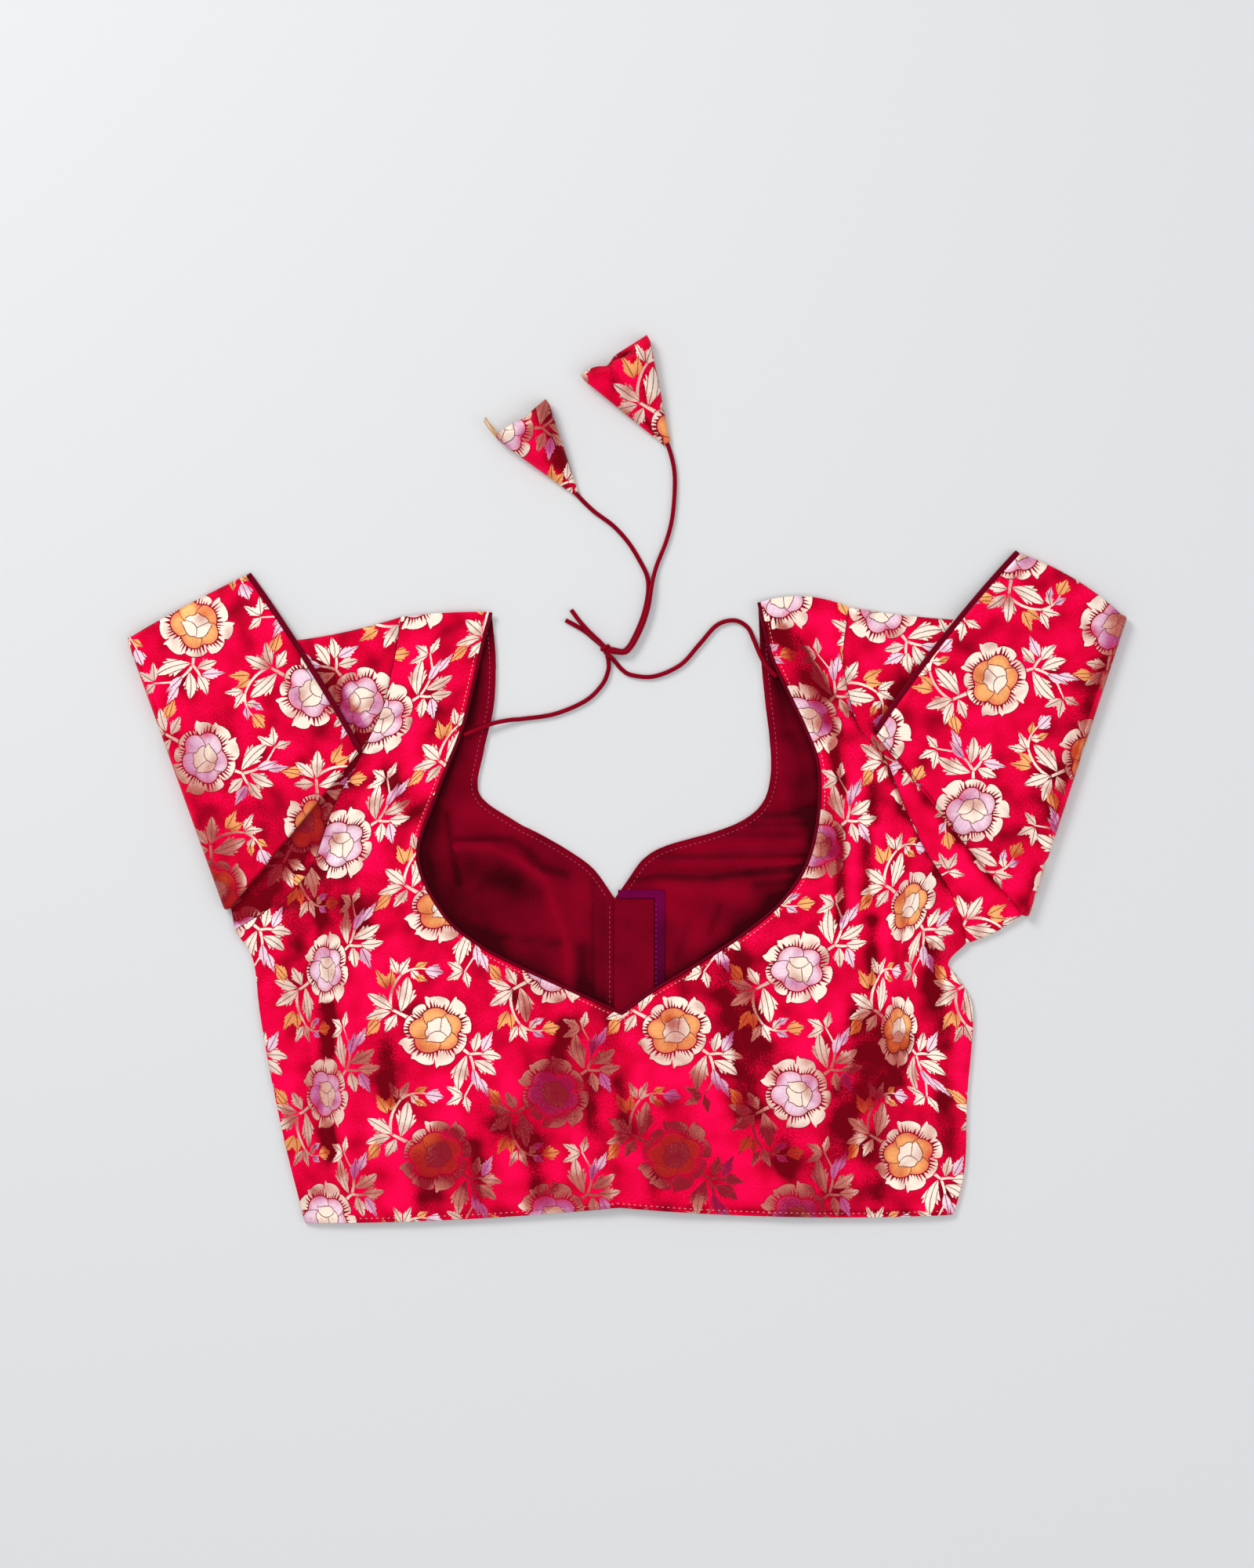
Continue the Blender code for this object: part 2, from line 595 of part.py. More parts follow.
def make_tube(name, points, radius, material):
    """A round cord or piping along points in millimetres, with filled ends."""
    curve = bpy.data.curves.new(name, "CURVE")
    curve.dimensions = "3D"
    curve.bevel_depth = radius * MM
    curve.bevel_resolution = 2
    curve.use_fill_caps = True
    spline = curve.splines.new("POLY")
    spline.points.add(len(points) - 1)
    for place, p in zip(spline.points, points):
        place.co = (p[0] * MM, p[1] * MM, p[2] * MM, 1.0)
    curve.materials.append(material)
    tube = bpy.data.objects.new(name, curve)
    BLOUSE.objects.link(tube)
    return tube


def make_cord(name, material):
    """A tie cord: its hand-set route, smoothed and divided into even short spans."""
    smooth = through(CORD_ROUTES[name], CORD_STEPS)
    length = sum(float(np.linalg.norm(b - a)) for a, b in zip(smooth, smooth[1:]))
    spans = max(3, round(length / CORD_SPAN))
    points = [spread_along(smooth, length * k / spans) for k in range(spans + 1)]
    return make_tube(name, points, CORD_RADIUS, material)


def neck_edge():
    """The back's neck edge from the left shoulder down to the V and up to the right one."""
    first = V_ROW * ROW_STEPS
    left = [np.array(row[0]) for row in back_rows("left")[first:]][::-1]
    right = [np.array(row[0]) for row in back_rows("right")[first:]]
    return left + right[1:]


def make_piping(material):
    """The round piping sewn along the back neck."""
    edge = neck_edge()
    line = offset_line(edge, PIPING_RADIUS + SEAM_GAP)
    points = [(p[0], p[1], q[2] + BROCADE_WALL / 2) for p, q in zip(line, edge)]
    return make_tube("back_neck_piping", points, PIPING_RADIUS, material)


def make_knot(material):
    """The knot of the two cords, a small rounded lump on the surface."""
    mesh = bmesh.new()
    bmesh.ops.create_uvsphere(mesh, u_segments=12, v_segments=8, radius=1.0)
    bmesh.ops.scale(mesh, vec=KNOT_RADII, verts=mesh.verts)
    bmesh.ops.translate(mesh, vec=KNOT_CENTRE, verts=mesh.verts)
    return finish(mesh, "cord_knot", material)


def make_tassel(name, material):
    """A puffed cone of folded cloth, lying on its side with its mouth away from the cord."""
    size = TASSELS[name]
    tip, mouth = np.array(size["tip"]), np.array(size["mouth"])
    length = float(np.linalg.norm(mouth - tip))
    way = (mouth - tip) / length
    across = np.array([-way[1], way[0]])
    mesh = bmesh.new()
    rings = []
    for share, width_share, half_height in TASSEL_ROWS:
        ring = []
        for k in range(TASSEL_SIDES):
            angle = 2 * math.pi * k / TASSEL_SIDES
            w = math.cos(angle)
            notch = math.exp(-(((w - NOTCH_PLACE) / NOTCH_WIDTH) ** 2)) * share**3
            along = TASSEL_TIP_GAP + (length - TASSEL_TIP_GAP) * share - notch * size["notch"]
            p = tip + way * along + across * w * width_share * size["half_width"]
            ring.append((p[0], p[1], half_height * (1 + math.sin(angle))))
        rings.append([mesh.verts.new(p) for p in ring])
    for low, high in zip(rings, rings[1:]):
        for k in range(TASSEL_SIDES):
            n = (k + 1) % TASSEL_SIDES
            mesh.faces.new((low[k], low[n], high[n], high[k]))
    mesh.faces.new(rings[0][::-1])
    mouth_centre = sum((np.array(v.co) for v in rings[-1]), np.zeros(3)) / TASSEL_SIDES
    middle = mesh.verts.new(tuple(mouth_centre - np.array([*way, 0.0]) * TASSEL_MOUTH_DEPTH))
    for k in range(TASSEL_SIDES):
        mesh.faces.new((rings[-1][k], rings[-1][(k + 1) % TASSEL_SIDES], middle))
    return finish(mesh, name, material)


def main():
    clear_scene()
    bpy.context.scene.collection.children.link(BLOUSE)
    brocade = fabric("crimson_brocade", (0.62, 0.01, 0.03), 0.42)
    wine = fabric("wine_lining", (0.17, 0.005, 0.02), 0.5)
    violet = fabric("violet_facing", (0.15, 0.01, 0.11), 0.5)
    piping = fabric("maroon_piping", (0.11, 0.005, 0.015), 0.5)
    cord = fabric("crimson_cord", (0.3, 0.005, 0.02), 0.55)
    make_back(brocade)
    for side in ROWS:
        make_front(side, brocade)
        make_lining(side, wine)
        make_sleeve(side, brocade, piping)
    make_strip("placket_strip", PLACKET_STRIP, wine)
    make_strip("placket_underlap", UNDERLAP_EDGE, violet)
    make_piping(piping)
    for name in CORD_ROUTES:
        make_cord(name, cord)
    make_knot(cord)
    for name in TASSELS:
        make_tassel(name, brocade)


main()
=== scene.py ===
# %% [markdown]
# # A tie-back sari blouse in floral brocade
#
# The blouse lies flat with its back uppermost, and the camera looks straight down on it. Its
# sleeves are folded back over themselves, and its tie cords are knotted above the neck.
# The solid part comes first as a fixed frame. Every soft piece below is a thin shell on the
# same form as its solid, with finer folds, and takes that solid's place in the picture.

# %% Load the part
import math

import bmesh
import bpy
import numpy as np
from mathutils.bvhtree import BVHTree
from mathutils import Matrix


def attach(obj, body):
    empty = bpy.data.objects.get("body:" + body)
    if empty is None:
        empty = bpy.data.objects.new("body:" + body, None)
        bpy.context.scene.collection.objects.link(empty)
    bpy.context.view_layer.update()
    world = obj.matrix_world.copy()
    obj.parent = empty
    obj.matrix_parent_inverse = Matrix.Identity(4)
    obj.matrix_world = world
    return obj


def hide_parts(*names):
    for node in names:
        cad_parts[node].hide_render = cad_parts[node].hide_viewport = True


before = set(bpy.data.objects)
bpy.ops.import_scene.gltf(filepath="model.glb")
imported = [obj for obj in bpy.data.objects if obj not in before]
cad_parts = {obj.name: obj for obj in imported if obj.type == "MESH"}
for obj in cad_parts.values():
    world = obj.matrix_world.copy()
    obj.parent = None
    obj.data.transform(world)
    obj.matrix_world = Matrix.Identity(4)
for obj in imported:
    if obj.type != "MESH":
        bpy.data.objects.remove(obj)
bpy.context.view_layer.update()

MM = 0.001

# %% [markdown]
# ## Camera, floor and light
#
# A garment that is photographed from above is lit by large soft lamps, so that silk glows
# without hard spots. A plain surface and three broad lamps do the same here. The camera's
# picture is 950 mm high at the cloth, and its middle is a little above the blouse's middle.

# %% Camera
PICTURE_HEIGHT, PICTURE_MIDDLE = 0.950, (0.0, 0.0622)
CAMERA_HEIGHT, CLOTH_LEVEL = 2.2, 0.005
SENSOR = 36.0
FLOOR_LEVEL = -0.0004

camera = bpy.data.objects.new("camera", bpy.data.cameras.new("camera"))
bpy.context.scene.collection.objects.link(camera)
camera.data.sensor_fit = "VERTICAL"
camera.data.sensor_height = SENSOR
camera.data.lens = SENSOR * (CAMERA_HEIGHT - CLOTH_LEVEL) / PICTURE_HEIGHT
camera.location = (*PICTURE_MIDDLE, CAMERA_HEIGHT)
bpy.context.scene.camera = camera
print("lens in mm", round(camera.data.lens, 1))

# %% Floor and lamps
bpy.context.scene.view_settings.view_transform = "Standard"

bpy.ops.object.select_all(action="DESELECT")
bpy.ops.mesh.primitive_plane_add(size=8.0, location=(0.0, 0.0, FLOOR_LEVEL))
floor = bpy.context.object
floor.name = "floor"
paper = bpy.data.materials.new("pale_floor")
paper.use_nodes = True
paper_shader = paper.node_tree.nodes["Principled BSDF"]
paper_shader.inputs["Base Color"].default_value = (0.72, 0.72, 0.71, 1)
paper_shader.inputs["Roughness"].default_value = 0.9
floor.data.materials.append(paper)

LAMPS = [
    # name, place, side, watts
    ("key_lamp", (-1.3, 1.5, 1.7), 0.9, 34.0),
    ("fill_lamp", (1.9, -0.4, 1.8), 1.6, 11.0),
    ("top_lamp", (0.1, -0.7, 2.6), 1.2, 12.0),
]
for name, place, side, watts in LAMPS:
    lamp = bpy.data.objects.new(name, bpy.data.lights.new(name, "AREA"))
    bpy.context.scene.collection.objects.link(lamp)
    lamp.data.size = side
    lamp.data.energy = watts
    lamp.location = place
    towards = -np.array(place)
    lamp.rotation_euler = (
        math.acos(-towards[2] / np.linalg.norm(towards)), 0.0,
        math.atan2(towards[1], towards[0]) - math.pi / 2,
    )
world = bpy.data.worlds.new("studio")
world.use_nodes = True
world.node_tree.nodes["Background"].inputs["Color"].default_value = (0.9, 0.93, 1.0, 1)
world.node_tree.nodes["Background"].inputs["Strength"].default_value = 0.55
bpy.context.scene.world = world
print("lamps", [row[0] for row in LAMPS])

# %% [markdown]
# ## Lines and meshes
#
# A garment's edges are smooth curves between a few pattern points, with sharp turns only at
# the underarm and at the V of the neck. The same curve is used for the edges, the cords and
# the rows of every sheet. All tables are in millimetres, and meshes are scaled to metres.

# %% Smooth lines
def ease(value):
    """0 below 0, 1 above 1, and a soft step between, for numbers or arrays."""
    t = np.clip(value, 0.0, 1.0)
    return t * t * (3.0 - 2.0 * t)


def through(points, steps, corners=()):
    """Points on a smooth curve through the given ones, which turns sharply at a corner."""
    points = [np.array(p, float) for p in points]
    last = len(points) - 1
    curve = []
    for i in range(last):
        a, b = points[i], points[i + 1]
        slope_a = (b - points[i - 1]) / 2 if i > 0 and i not in corners else b - a
        slope_b = (points[i + 2] - a) / 2 if i + 1 < last and i + 1 not in corners else b - a
        for k in range(steps):
            t = k / steps
            curve.append(
                (2 * t**3 - 3 * t**2 + 1) * a + (t**3 - 2 * t**2 + t) * slope_a
                + (3 * t**2 - 2 * t**3) * b + (t**3 - t**2) * slope_b
            )
    curve.append(points[-1])
    return curve


def line_length(points):
    """Length of a line of points."""
    return sum(float(np.linalg.norm(b - a)) for a, b in zip(points, points[1:]))


def place_on(points, distance):
    """The point at a distance along a line of points, and past its end the last one."""
    for a, b in zip(points, points[1:]):
        length = float(np.linalg.norm(b - a))
        if distance <= length:
            return a + (b - a) * (distance / max(length, 1e-9))
        distance -= length
    return points[-1]


def divided(points, span):
    """A line of points divided into even spans of about that length."""
    length = line_length(points)
    count = max(2, round(length / span))
    return [place_on(points, length * k / count) for k in range(count + 1)]


def offset_line(points, distance):
    """The same flat line moved sideways to its left, mitred so that the gap stays even."""
    points = [np.array(p, float)[:2] for p in points]
    moved = []
    for k, p in enumerate(points):
        before = p - points[k - 1] if k > 0 else points[1] - p
        after = points[k + 1] - p if k + 1 < len(points) else p - points[k - 1]
        before, after = before / np.linalg.norm(before), after / np.linalg.norm(after)
        normals = np.array([-before[1], before[0]]), np.array([-after[1], after[0]])
        mitre = normals[0] + normals[1]
        mitre = mitre / np.linalg.norm(mitre)
        moved.append(p + mitre * distance / max(float(mitre @ normals[0]), 0.5))
    return moved


# %% Tubes
def tube(name, points, radius, material):
    """A round cord along points in millimetres, with filled ends, as one open spline."""
    curve = bpy.data.curves.new(name, "CURVE")
    curve.dimensions = "3D"
    curve.bevel_depth = radius * MM
    curve.bevel_resolution = 3
    curve.use_fill_caps = True
    spline = curve.splines.new("POLY")
    spline.points.add(len(points) - 1)
    for place, p in zip(spline.points, points):
        place.co = (p[0] * MM, p[1] * MM, p[2] * MM, 1.0)
    spline.use_smooth = True
    curve.materials.append(material)
    cord = bpy.data.objects.new(name, curve)
    bpy.context.scene.collection.objects.link(cord)
    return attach(cord, "root")


# %% Materials from one call
def new_material(name, colour, roughness, **sockets):
    """A Principled material whose constant values sit on the shader's own sockets."""
    material = bpy.data.materials.new(name)
    material.use_nodes = True
    shader = material.node_tree.nodes["Principled BSDF"]
    shader.inputs["Base Color"].default_value = (*colour, 1.0)
    shader.inputs["Roughness"].default_value = roughness
    for socket, value in sockets.items():
        shader.inputs[socket.replace("_", " ")].default_value = value
    return material


# %% Soft strokes
def strokes(x, y, table, end_fade=None, combine=np.add):
    """Adds up soft strokes of x0, y0, x1, y1, half width and amount at arrays of points."""
    total = np.zeros_like(x)
    for *_, x0, y0, x1, y1, half_width, amount in table:
        length = math.hypot(x1 - x0, y1 - y0)
        way = ((x1 - x0) / length, (y1 - y0) / length)
        s = (x - x0) * way[0] + (y - y0) * way[1]
        across = (x - x0) * way[1] - (y - y0) * way[0]
        beyond = np.maximum(np.maximum(-s, s - length), 0.0)
        fade = (across / half_width) ** 2 + (beyond / (end_fade or half_width)) ** 2
        total = combine(total, amount * np.exp(-fade))
    return total

# %% [markdown]
# ## The brocade's pattern
#
# The cloth is woven with roses in columns. Every second column is set half a step higher and
# turned upside down, with lilac roses where its neighbours have orange ones. Each rose has a
# spray of leaves on either side. An image could hold this, but a pattern that is drawn with
# nodes stays sharp at any size, and one small group can draw every leaf.

# %% A short way to build node trees
class Tree:
    """Adds nodes to one tree and links them. A value is a number, a vector or a socket."""

    def __init__(self, tree):
        self.tree = tree

    def put(self, value, socket):
        """Links a value to an input, or sets it there if it's no socket itself."""
        if isinstance(value, bpy.types.NodeSocket):
            self.tree.links.new(value, socket)
        else:
            socket.default_value = value

    def node(self, kind, values=None, **settings):
        """A new node. values are its inputs by name or number."""
        node = self.tree.nodes.new(kind)
        for setting, value in settings.items():
            setattr(node, setting, value)
        for place, value in (values or {}).items():
            self.put(value, node.inputs[place])
        return node

    def math(self, operation, *values, clamp=False):
        settings = {"operation": operation, "use_clamp": clamp}
        return self.node("ShaderNodeMath", dict(enumerate(values)), **settings).outputs[0]

    def vector(self, operation, values):
        return self.node("ShaderNodeVectorMath", values, operation=operation).outputs[0]

    def scaled(self, vector, factor):
        return self.vector("SCALE", {"Vector": vector, "Scale": factor})

    def split(self, vector):
        return self.node("ShaderNodeSeparateXYZ", {0: vector}).outputs

    def mix(self, factor, first, second):
        """Mixes two colours, each a socket or three numbers."""
        node = self.node("ShaderNodeMix", data_type="RGBA")
        self.put(factor, node.inputs[0])
        colours = [socket for socket in node.inputs if socket.type == "RGBA"]
        for socket, value in zip(colours, (first, second)):
            self.put(value if isinstance(value, bpy.types.NodeSocket) else (*value, 1.0), socket)
        return next(socket for socket in node.outputs if socket.type == "RGBA")

    def curve(self, value, points):
        """Reads a value off straight lines between points."""
        node = self.node("ShaderNodeFloatCurve", {"Value": value})
        line = node.mapping.curves[0]
        for x, y in points[1:-1]:
            line.points.new(x, y)
        for place, (x, y) in zip(line.points, points):
            place.location = (x, y)
            place.handle_type = "VECTOR"
        node.mapping.update()
        return node.outputs[0]

    def noise(self, vector, scale, detail, roughness=0.5):
        values = {"Vector": vector, "Scale": scale, "Detail": detail, "Roughness": roughness}
        return self.node("ShaderNodeTexNoise", values, noise_dimensions="2D").outputs[0]

    def group(self, group, values):
        return self.node("ShaderNodeGroup", values, node_tree=group).outputs


def new_group(name, inputs, outputs, vectors=()):
    """An empty shader node group, its tree, what comes in, and what goes out.

    Its sockets are numbers, apart from those that are named as vectors."""
    group = bpy.data.node_groups.new(name, "ShaderNodeTree")
    for way, sockets in (("INPUT", inputs), ("OUTPUT", outputs)):
        for socket in sockets:
            kind = "NodeSocketVector" if socket in vectors else "NodeSocketFloat"
            group.interface.new_socket(socket, in_out=way, socket_type=kind)
    tree = Tree(group)
    return group, tree, tree.node("NodeGroupInput").outputs, tree.node("NodeGroupOutput").inputs


# %% [markdown]
# ### One repeat, folded
#
# A weaver draws a repeat once. Here the cloth's own coordinates are folded onto that one
# drawing: sideways by a column, upside down in every second one, and up and down by a row.

# %% Fold the cloth onto one repeat
COLUMN_WIDTH, ROW_HEIGHT = 71.25, 75.5
ODD_ROSE = (COLUMN_WIDTH, ROW_HEIGHT / 2)

fold_group, t, given, out = new_group(
    "fold_to_repeat", ["Across", "Along", "Centre X", "Centre Y"], ["X", "Y", "Odd"])
aside = t.math("SUBTRACT", given["Across"], given["Centre X"])
column = t.math("ROUND", t.math("DIVIDE", aside, COLUMN_WIDTH))
x = t.math("ADD", t.math("MULTIPLY_ADD", column, -COLUMN_WIDTH, aside), given["Centre X"])
odd = t.math("FLOORED_MODULO", column, 2.0)
turned = t.math("MULTIPLY_ADD", odd, -2.0, 1.0)
y = t.math("MULTIPLY_ADD", given["Along"], turned, t.math("MULTIPLY", odd, ROW_HEIGHT / 2))
y = t.math("WRAP", t.math("SUBTRACT", y, given["Centre Y"]), ROW_HEIGHT / 2, -ROW_HEIGHT / 2)
t.tree.links.new(x, out["X"])
t.tree.links.new(t.math("ADD", y, given["Centre Y"]), out["Y"])
t.tree.links.new(odd, out["Odd"])
print("a repeat is", 2 * COLUMN_WIDTH, "by", ROW_HEIGHT, "mm")

# %% [markdown]
# ### Leaves, buds and stems
#
# Each is one long shape from a root to a tip, with its half width read from a small curve, so
# a leaf gets pointed lobes, a bud gets a waist and a stem stays even. A thin gap is left round
# each large one, as the weaver leaves it, and the ribs of a leaf are left unwoven too.

# %% Leaf, bud and stem groups
# how fast a woven form's edge rises in a mm, and the gap round it in mm
EDGE, GAP = 4.0, 0.5
FORMS = {
    # form: half width along the length from root to tip, and whether ribs show
    "leaf": ([(0, 0), (0.05, 0.24), (0.15, 0.6), (0.26, 0.98), (0.31, 1.12), (0.34, 1.12),
              (0.37, 0.76), (0.44, 0.92), (0.49, 0.96), (0.53, 0.58), (0.64, 0.56),
              (0.76, 0.42), (0.88, 0.24), (1, 0)], True),
    "bud": ([(0, 0), (0.06, 0.48), (0.16, 0.86), (0.3, 1.06), (0.39, 1.08), (0.43, 0.74),
             (0.5, 0.84), (0.56, 0.82), (0.6, 0.5), (0.78, 0.34), (1, 0)], True),
    "stem": ([(0, 0), (0.03, 1.0), (0.97, 0.7), (1, 0)], False),
}
PLACING = [
    "Along X", "Along Y", "Along 0", "Across X", "Across Y", "Across 0", "Half Width", "Bend"]
WOVEN = ["Gold", "Lilac", "Orange", "Lines"]
RIB_SPACING, RIB_HALF_WIDTH = 3.2, 0.31
# how far a leaf's lobes point on towards its tip, for each mm from its middle
SWEEP = 0.042


def form_group(form, small):
    """One leaf, bud or stem: how far inside it a place is, and inside one of its ribs, in mm.

    Distances are joined by taking the greater, which is far cheaper than mixing colours. A
    small form has only its middle rib. A bend of zero costs nothing, because it's a product
    that is then added."""
    points, ribs = FORMS[form]
    group, t, given, out = new_group(
        "brocade_" + ("small_" if small else "") + form, ["X", "Y"] + PLACING, ["Inward", "Rib"])

    def placed(line):
        down = t.math("MULTIPLY_ADD", given["Y"], given[line + " Y"], given[line + " 0"])
        return t.math("MULTIPLY_ADD", given["X"], given[line + " X"], down)

    share = placed("Along")
    swell = t.math("MULTIPLY", share, t.math("SUBTRACT", 1.0, share))
    bent = t.math("ADD", placed("Across"), t.math("MULTIPLY", swell, given["Bend"]))
    side = t.math("ABSOLUTE", bent)
    swept = t.math("MULTIPLY_ADD", side, -SWEEP, share) if ribs else share
    reach = t.math("MULTIPLY", t.curve(swept, points), given["Half Width"])
    inward = t.math("SUBTRACT", reach, side)
    t.tree.links.new(inward, out["Inward"])
    if ribs:
        from_rib = side
        if not small:
            spread = t.math("MULTIPLY", side, t.math("MULTIPLY_ADD", share, -0.5, 1.25))
            from_rib = t.math("PINGPONG", spread, RIB_SPACING / 2)
        t.tree.links.new(
            t.math("MINIMUM", t.math("SUBTRACT", RIB_HALF_WIDTH, from_rib), inward), out["Rib"])
    return group


form_groups = {(form, small): form_group(form, small) for form in FORMS for small in (False, True)}
print("forms", list(form_groups))

# %% [markdown]
# ### The rose
#
# Nine loose outer petals in gold, an inner ring in orange or lilac, and a closed golden
# heart. The outlines are three curves of radius against angle. A comb of the ground's own
# crimson runs out from the ring into the outer petals, as shading does in woven flowers.

# %% Rose group
ROSE_REACH = 26.0
# the inner ring: its radius, how deep its lobes are, and how far it sways from a circle
RING_RADIUS, RING_LOBES, RING_SWAY = 13.4, 2.8, 1.0
RING_PETALS, RING_STEPS = 5, 48
# where its first parting starts, and how far partings lean, in turns for each mm outwards
PARTING_START, PARTING_LEAN = 0.155, 0.009
PETALS = [
    # middle angle, half angle, radius, where its pointed corner is from -1 to 1, notch after it
    (-150, 17.5, 21.4, -0.65, 20.4), (-113, 19.5, 21.6, -0.90, 15.4),
    (-74, 20, 21.4, -0.80, 18.8), (-30, 24, 19.6, 0.00, 13), (13, 19, 21.6, 0.00, 19.8),
    (47.5, 15.5, 23.2, 0.85, 16), (87, 24, 20.9, 0.85, 13.8), (127.5, 16.5, 18.6, 0.00, 15.6),
    (168, 24, 18.6, 0.00, 13.2),
]
# twice the numbers of the comb's teeth and of the ring's strands in a turn
COMB_TEETH, RING_STRANDS = 94.0, 42.0
HEART = [
    # angle and radius of the closed heart
    (-180, 6.4), (-165, 6.8), (-150, 7.0), (-142, 5.8), (-132, 8.8), (-116, 7.2), (-96, 6.9),
    (-74, 7.3), (-54, 7.8), (-38, 7.2), (-24, 8.2), (0, 9.2), (16, 9.2), (38, 9.1), (58, 10.2),
    (66, 7.8), (76, 8.4), (94, 7.7), (108, 6.8), (122, 6.7), (134, 7.4), (150, 5.9), (164, 5.6),
    (180, 6.4),
]


def petal_line():
    """The outer petals' radius against the angle, as shares of a turn and of the reach."""
    line = []
    for middle, half, radius, corner, notch in PETALS:
        for across in (-0.90, -0.80, -0.6, -0.3, 0.0, 0.3, 0.6, 0.80, 0.90):
            rounded = radius * (1.0 - 0.10 * abs(across) ** 3)
            pointed = 2.4 * math.exp(-(((across - corner) / 0.13) ** 2)) if corner else 0.0
            turn = ((middle + half * across) / 360.0 + 0.5) % 1.0
            line.append((turn, (rounded + pointed) / ROSE_REACH))
        line.append((((middle + half) / 360.0 + 0.5) % 1.0, notch / ROSE_REACH))
    line.sort()
    return [(0.0, line[0][1])] + line + [(1.0, line[-1][1])]


def ring_line():
    """The inner petals' radius, with five lobes that aren't all alike."""
    line = []
    for k in range(RING_STEPS + 1):
        lobes = RING_PETALS * k / RING_STEPS + 0.15
        lobes += 0.09 * math.sin(4 * math.pi * k / RING_STEPS)
        lobe = abs(math.cos(math.pi * lobes)) - 0.5
        sway = math.sin(2 * math.pi * 2 * k / RING_STEPS + 1.0)
        reach = RING_RADIUS + RING_LOBES * lobe + RING_SWAY * sway
        line.append((k / RING_STEPS, reach / ROSE_REACH))
    return line


def dark_line(distance, fall, top):
    """A line where a distance in mm is near 0, which fades by that fall in each mm."""
    return t.math("MULTIPLY_ADD", t.math("ABSOLUTE", distance), -fall, top, clamp=True)


rose_group, t, given, out = new_group("brocade_rose", ["X", "Y", "Odd"] + WOVEN, WOVEN)
x, y = given["X"], given["Y"]
radius = t.math("SQRT", t.math("MULTIPLY_ADD", x, x, t.math("MULTIPLY", y, y)))
angle = t.math("MULTIPLY_ADD", t.math("ARCTAN2", y, x), 0.5 / math.pi, 0.5)
heart_line = [(degrees / 360.0 + 0.5, reach / ROSE_REACH) for degrees, reach in HEART]
past_petals, past_ring, past_heart = (
    t.math("SUBTRACT", t.math("MULTIPLY", t.curve(angle, line), ROSE_REACH), radius)
    for line in (petal_line(), ring_line(), heart_line))
petals, ring, heart = (
    t.math("MULTIPLY_ADD", inside, EDGE, 0.5, clamp=True)
    for inside in (past_petals, past_ring, past_heart))
keep = t.math("MULTIPLY_ADD", past_petals, -EDGE, 0.5 - GAP * EDGE, clamp=True)
# the comb: teeth of the ground that run from the ring out into the petals
uneven = t.math("SINE", t.math("MULTIPLY_ADD", angle, 57.0, 1.0))
comb_share = t.math("DIVIDE", past_ring, t.math("MULTIPLY_ADD", uneven, 1.6, 3.8))
comb_place = t.math("MULTIPLY_ADD", uneven, 0.5, t.math("MULTIPLY", angle, COMB_TEETH))
comb_place = t.math("PINGPONG", comb_place, 1.0)
comb = t.math("MULTIPLY_ADD", comb_share, 0.75, 0.82)
comb = t.math("MULTIPLY_ADD", t.math("SUBTRACT", comb, comb_place), 3.5, 0.5, clamp=True)
comb = t.math("MAXIMUM", comb, t.math("MULTIPLY_ADD", past_ring, 4.0, 3.2, clamp=True))
outer = t.math("SUBTRACT", petals, ring, clamp=True)
rim = t.math("MULTIPLY", outer, t.math("SUBTRACT", 1.0, comb))
# partings of the ring's petals, which lean over and end in the notches between them
leaning = t.math("MULTIPLY_ADD", radius, PARTING_LEAN, angle)
parting = t.math("MULTIPLY_ADD", leaning, 2 * RING_PETALS, 2 * PARTING_START)
parting = t.math("PINGPONG", parting, 1.0)
parting = t.math("MULTIPLY_ADD", t.math("MULTIPLY", parting, radius), -2.2, 1.5, clamp=True)
dyed = t.math("SUBTRACT", ring, heart, clamp=True)
# each dyed petal lets more of the ground through at its outer edge and at one side
sideways = t.math("FRACT", t.math("MULTIPLY_ADD", leaning, RING_PETALS, PARTING_START))
sideways = t.math("MULTIPLY", sideways, 0.3)
covered = t.math("MULTIPLY_ADD", past_ring, 0.13, t.math("ADD", sideways, 0.42), clamp=True)
dyed_petals = t.math("MULTIPLY", dyed, covered)
lilac = t.math("MULTIPLY", dyed_petals, given["Odd"])
for name, drawn in (("Gold", t.math("ADD", rim, heart)), ("Lilac", lilac),
                    ("Orange", t.math("SUBTRACT", dyed_petals, lilac))):
    t.tree.links.new(t.math("MULTIPLY_ADD", given[name], keep, drawn), out[name])
# dark lines: round the heart, its folds, the ring's strands and edge, the comb, the petals
outline = dark_line(past_heart, 3.4, 1.5)
strands = t.math("MULTIPLY_ADD", uneven, 0.15, t.math("MULTIPLY", angle, RING_STRANDS))
strands = t.math("PINGPONG", strands, 1.0)
strands = t.math("MULTIPLY_ADD", t.math("MULTIPLY", strands, radius), -1.6, 0.8, clamp=True)
strands = t.math("MULTIPLY", t.math("MAXIMUM", strands, parting), dyed)
rim_line = dark_line(t.math("ADD", past_ring, 0.3), 3.0, 1.5)
tent = t.math("ABSOLUTE", t.math("ADD", x, -0.7))
low_fold = t.math("MULTIPLY_ADD", t.math("MULTIPLY", tent, tent), 0.10, t.math("ADD", y, 0.2))
above = t.math("MULTIPLY", low_fold, 5.0, clamp=True)
high_fold = t.math("MULTIPLY_ADD", y, -0.12, t.math("ADD", x, -2.2))
high_fold = t.math("MULTIPLY", dark_line(high_fold, 3.4, 1.4), above)
low_fold = dark_line(low_fold, 3.0, 1.4)
inner = t.math("MULTIPLY", t.math("MAXIMUM", low_fold, high_fold), heart)
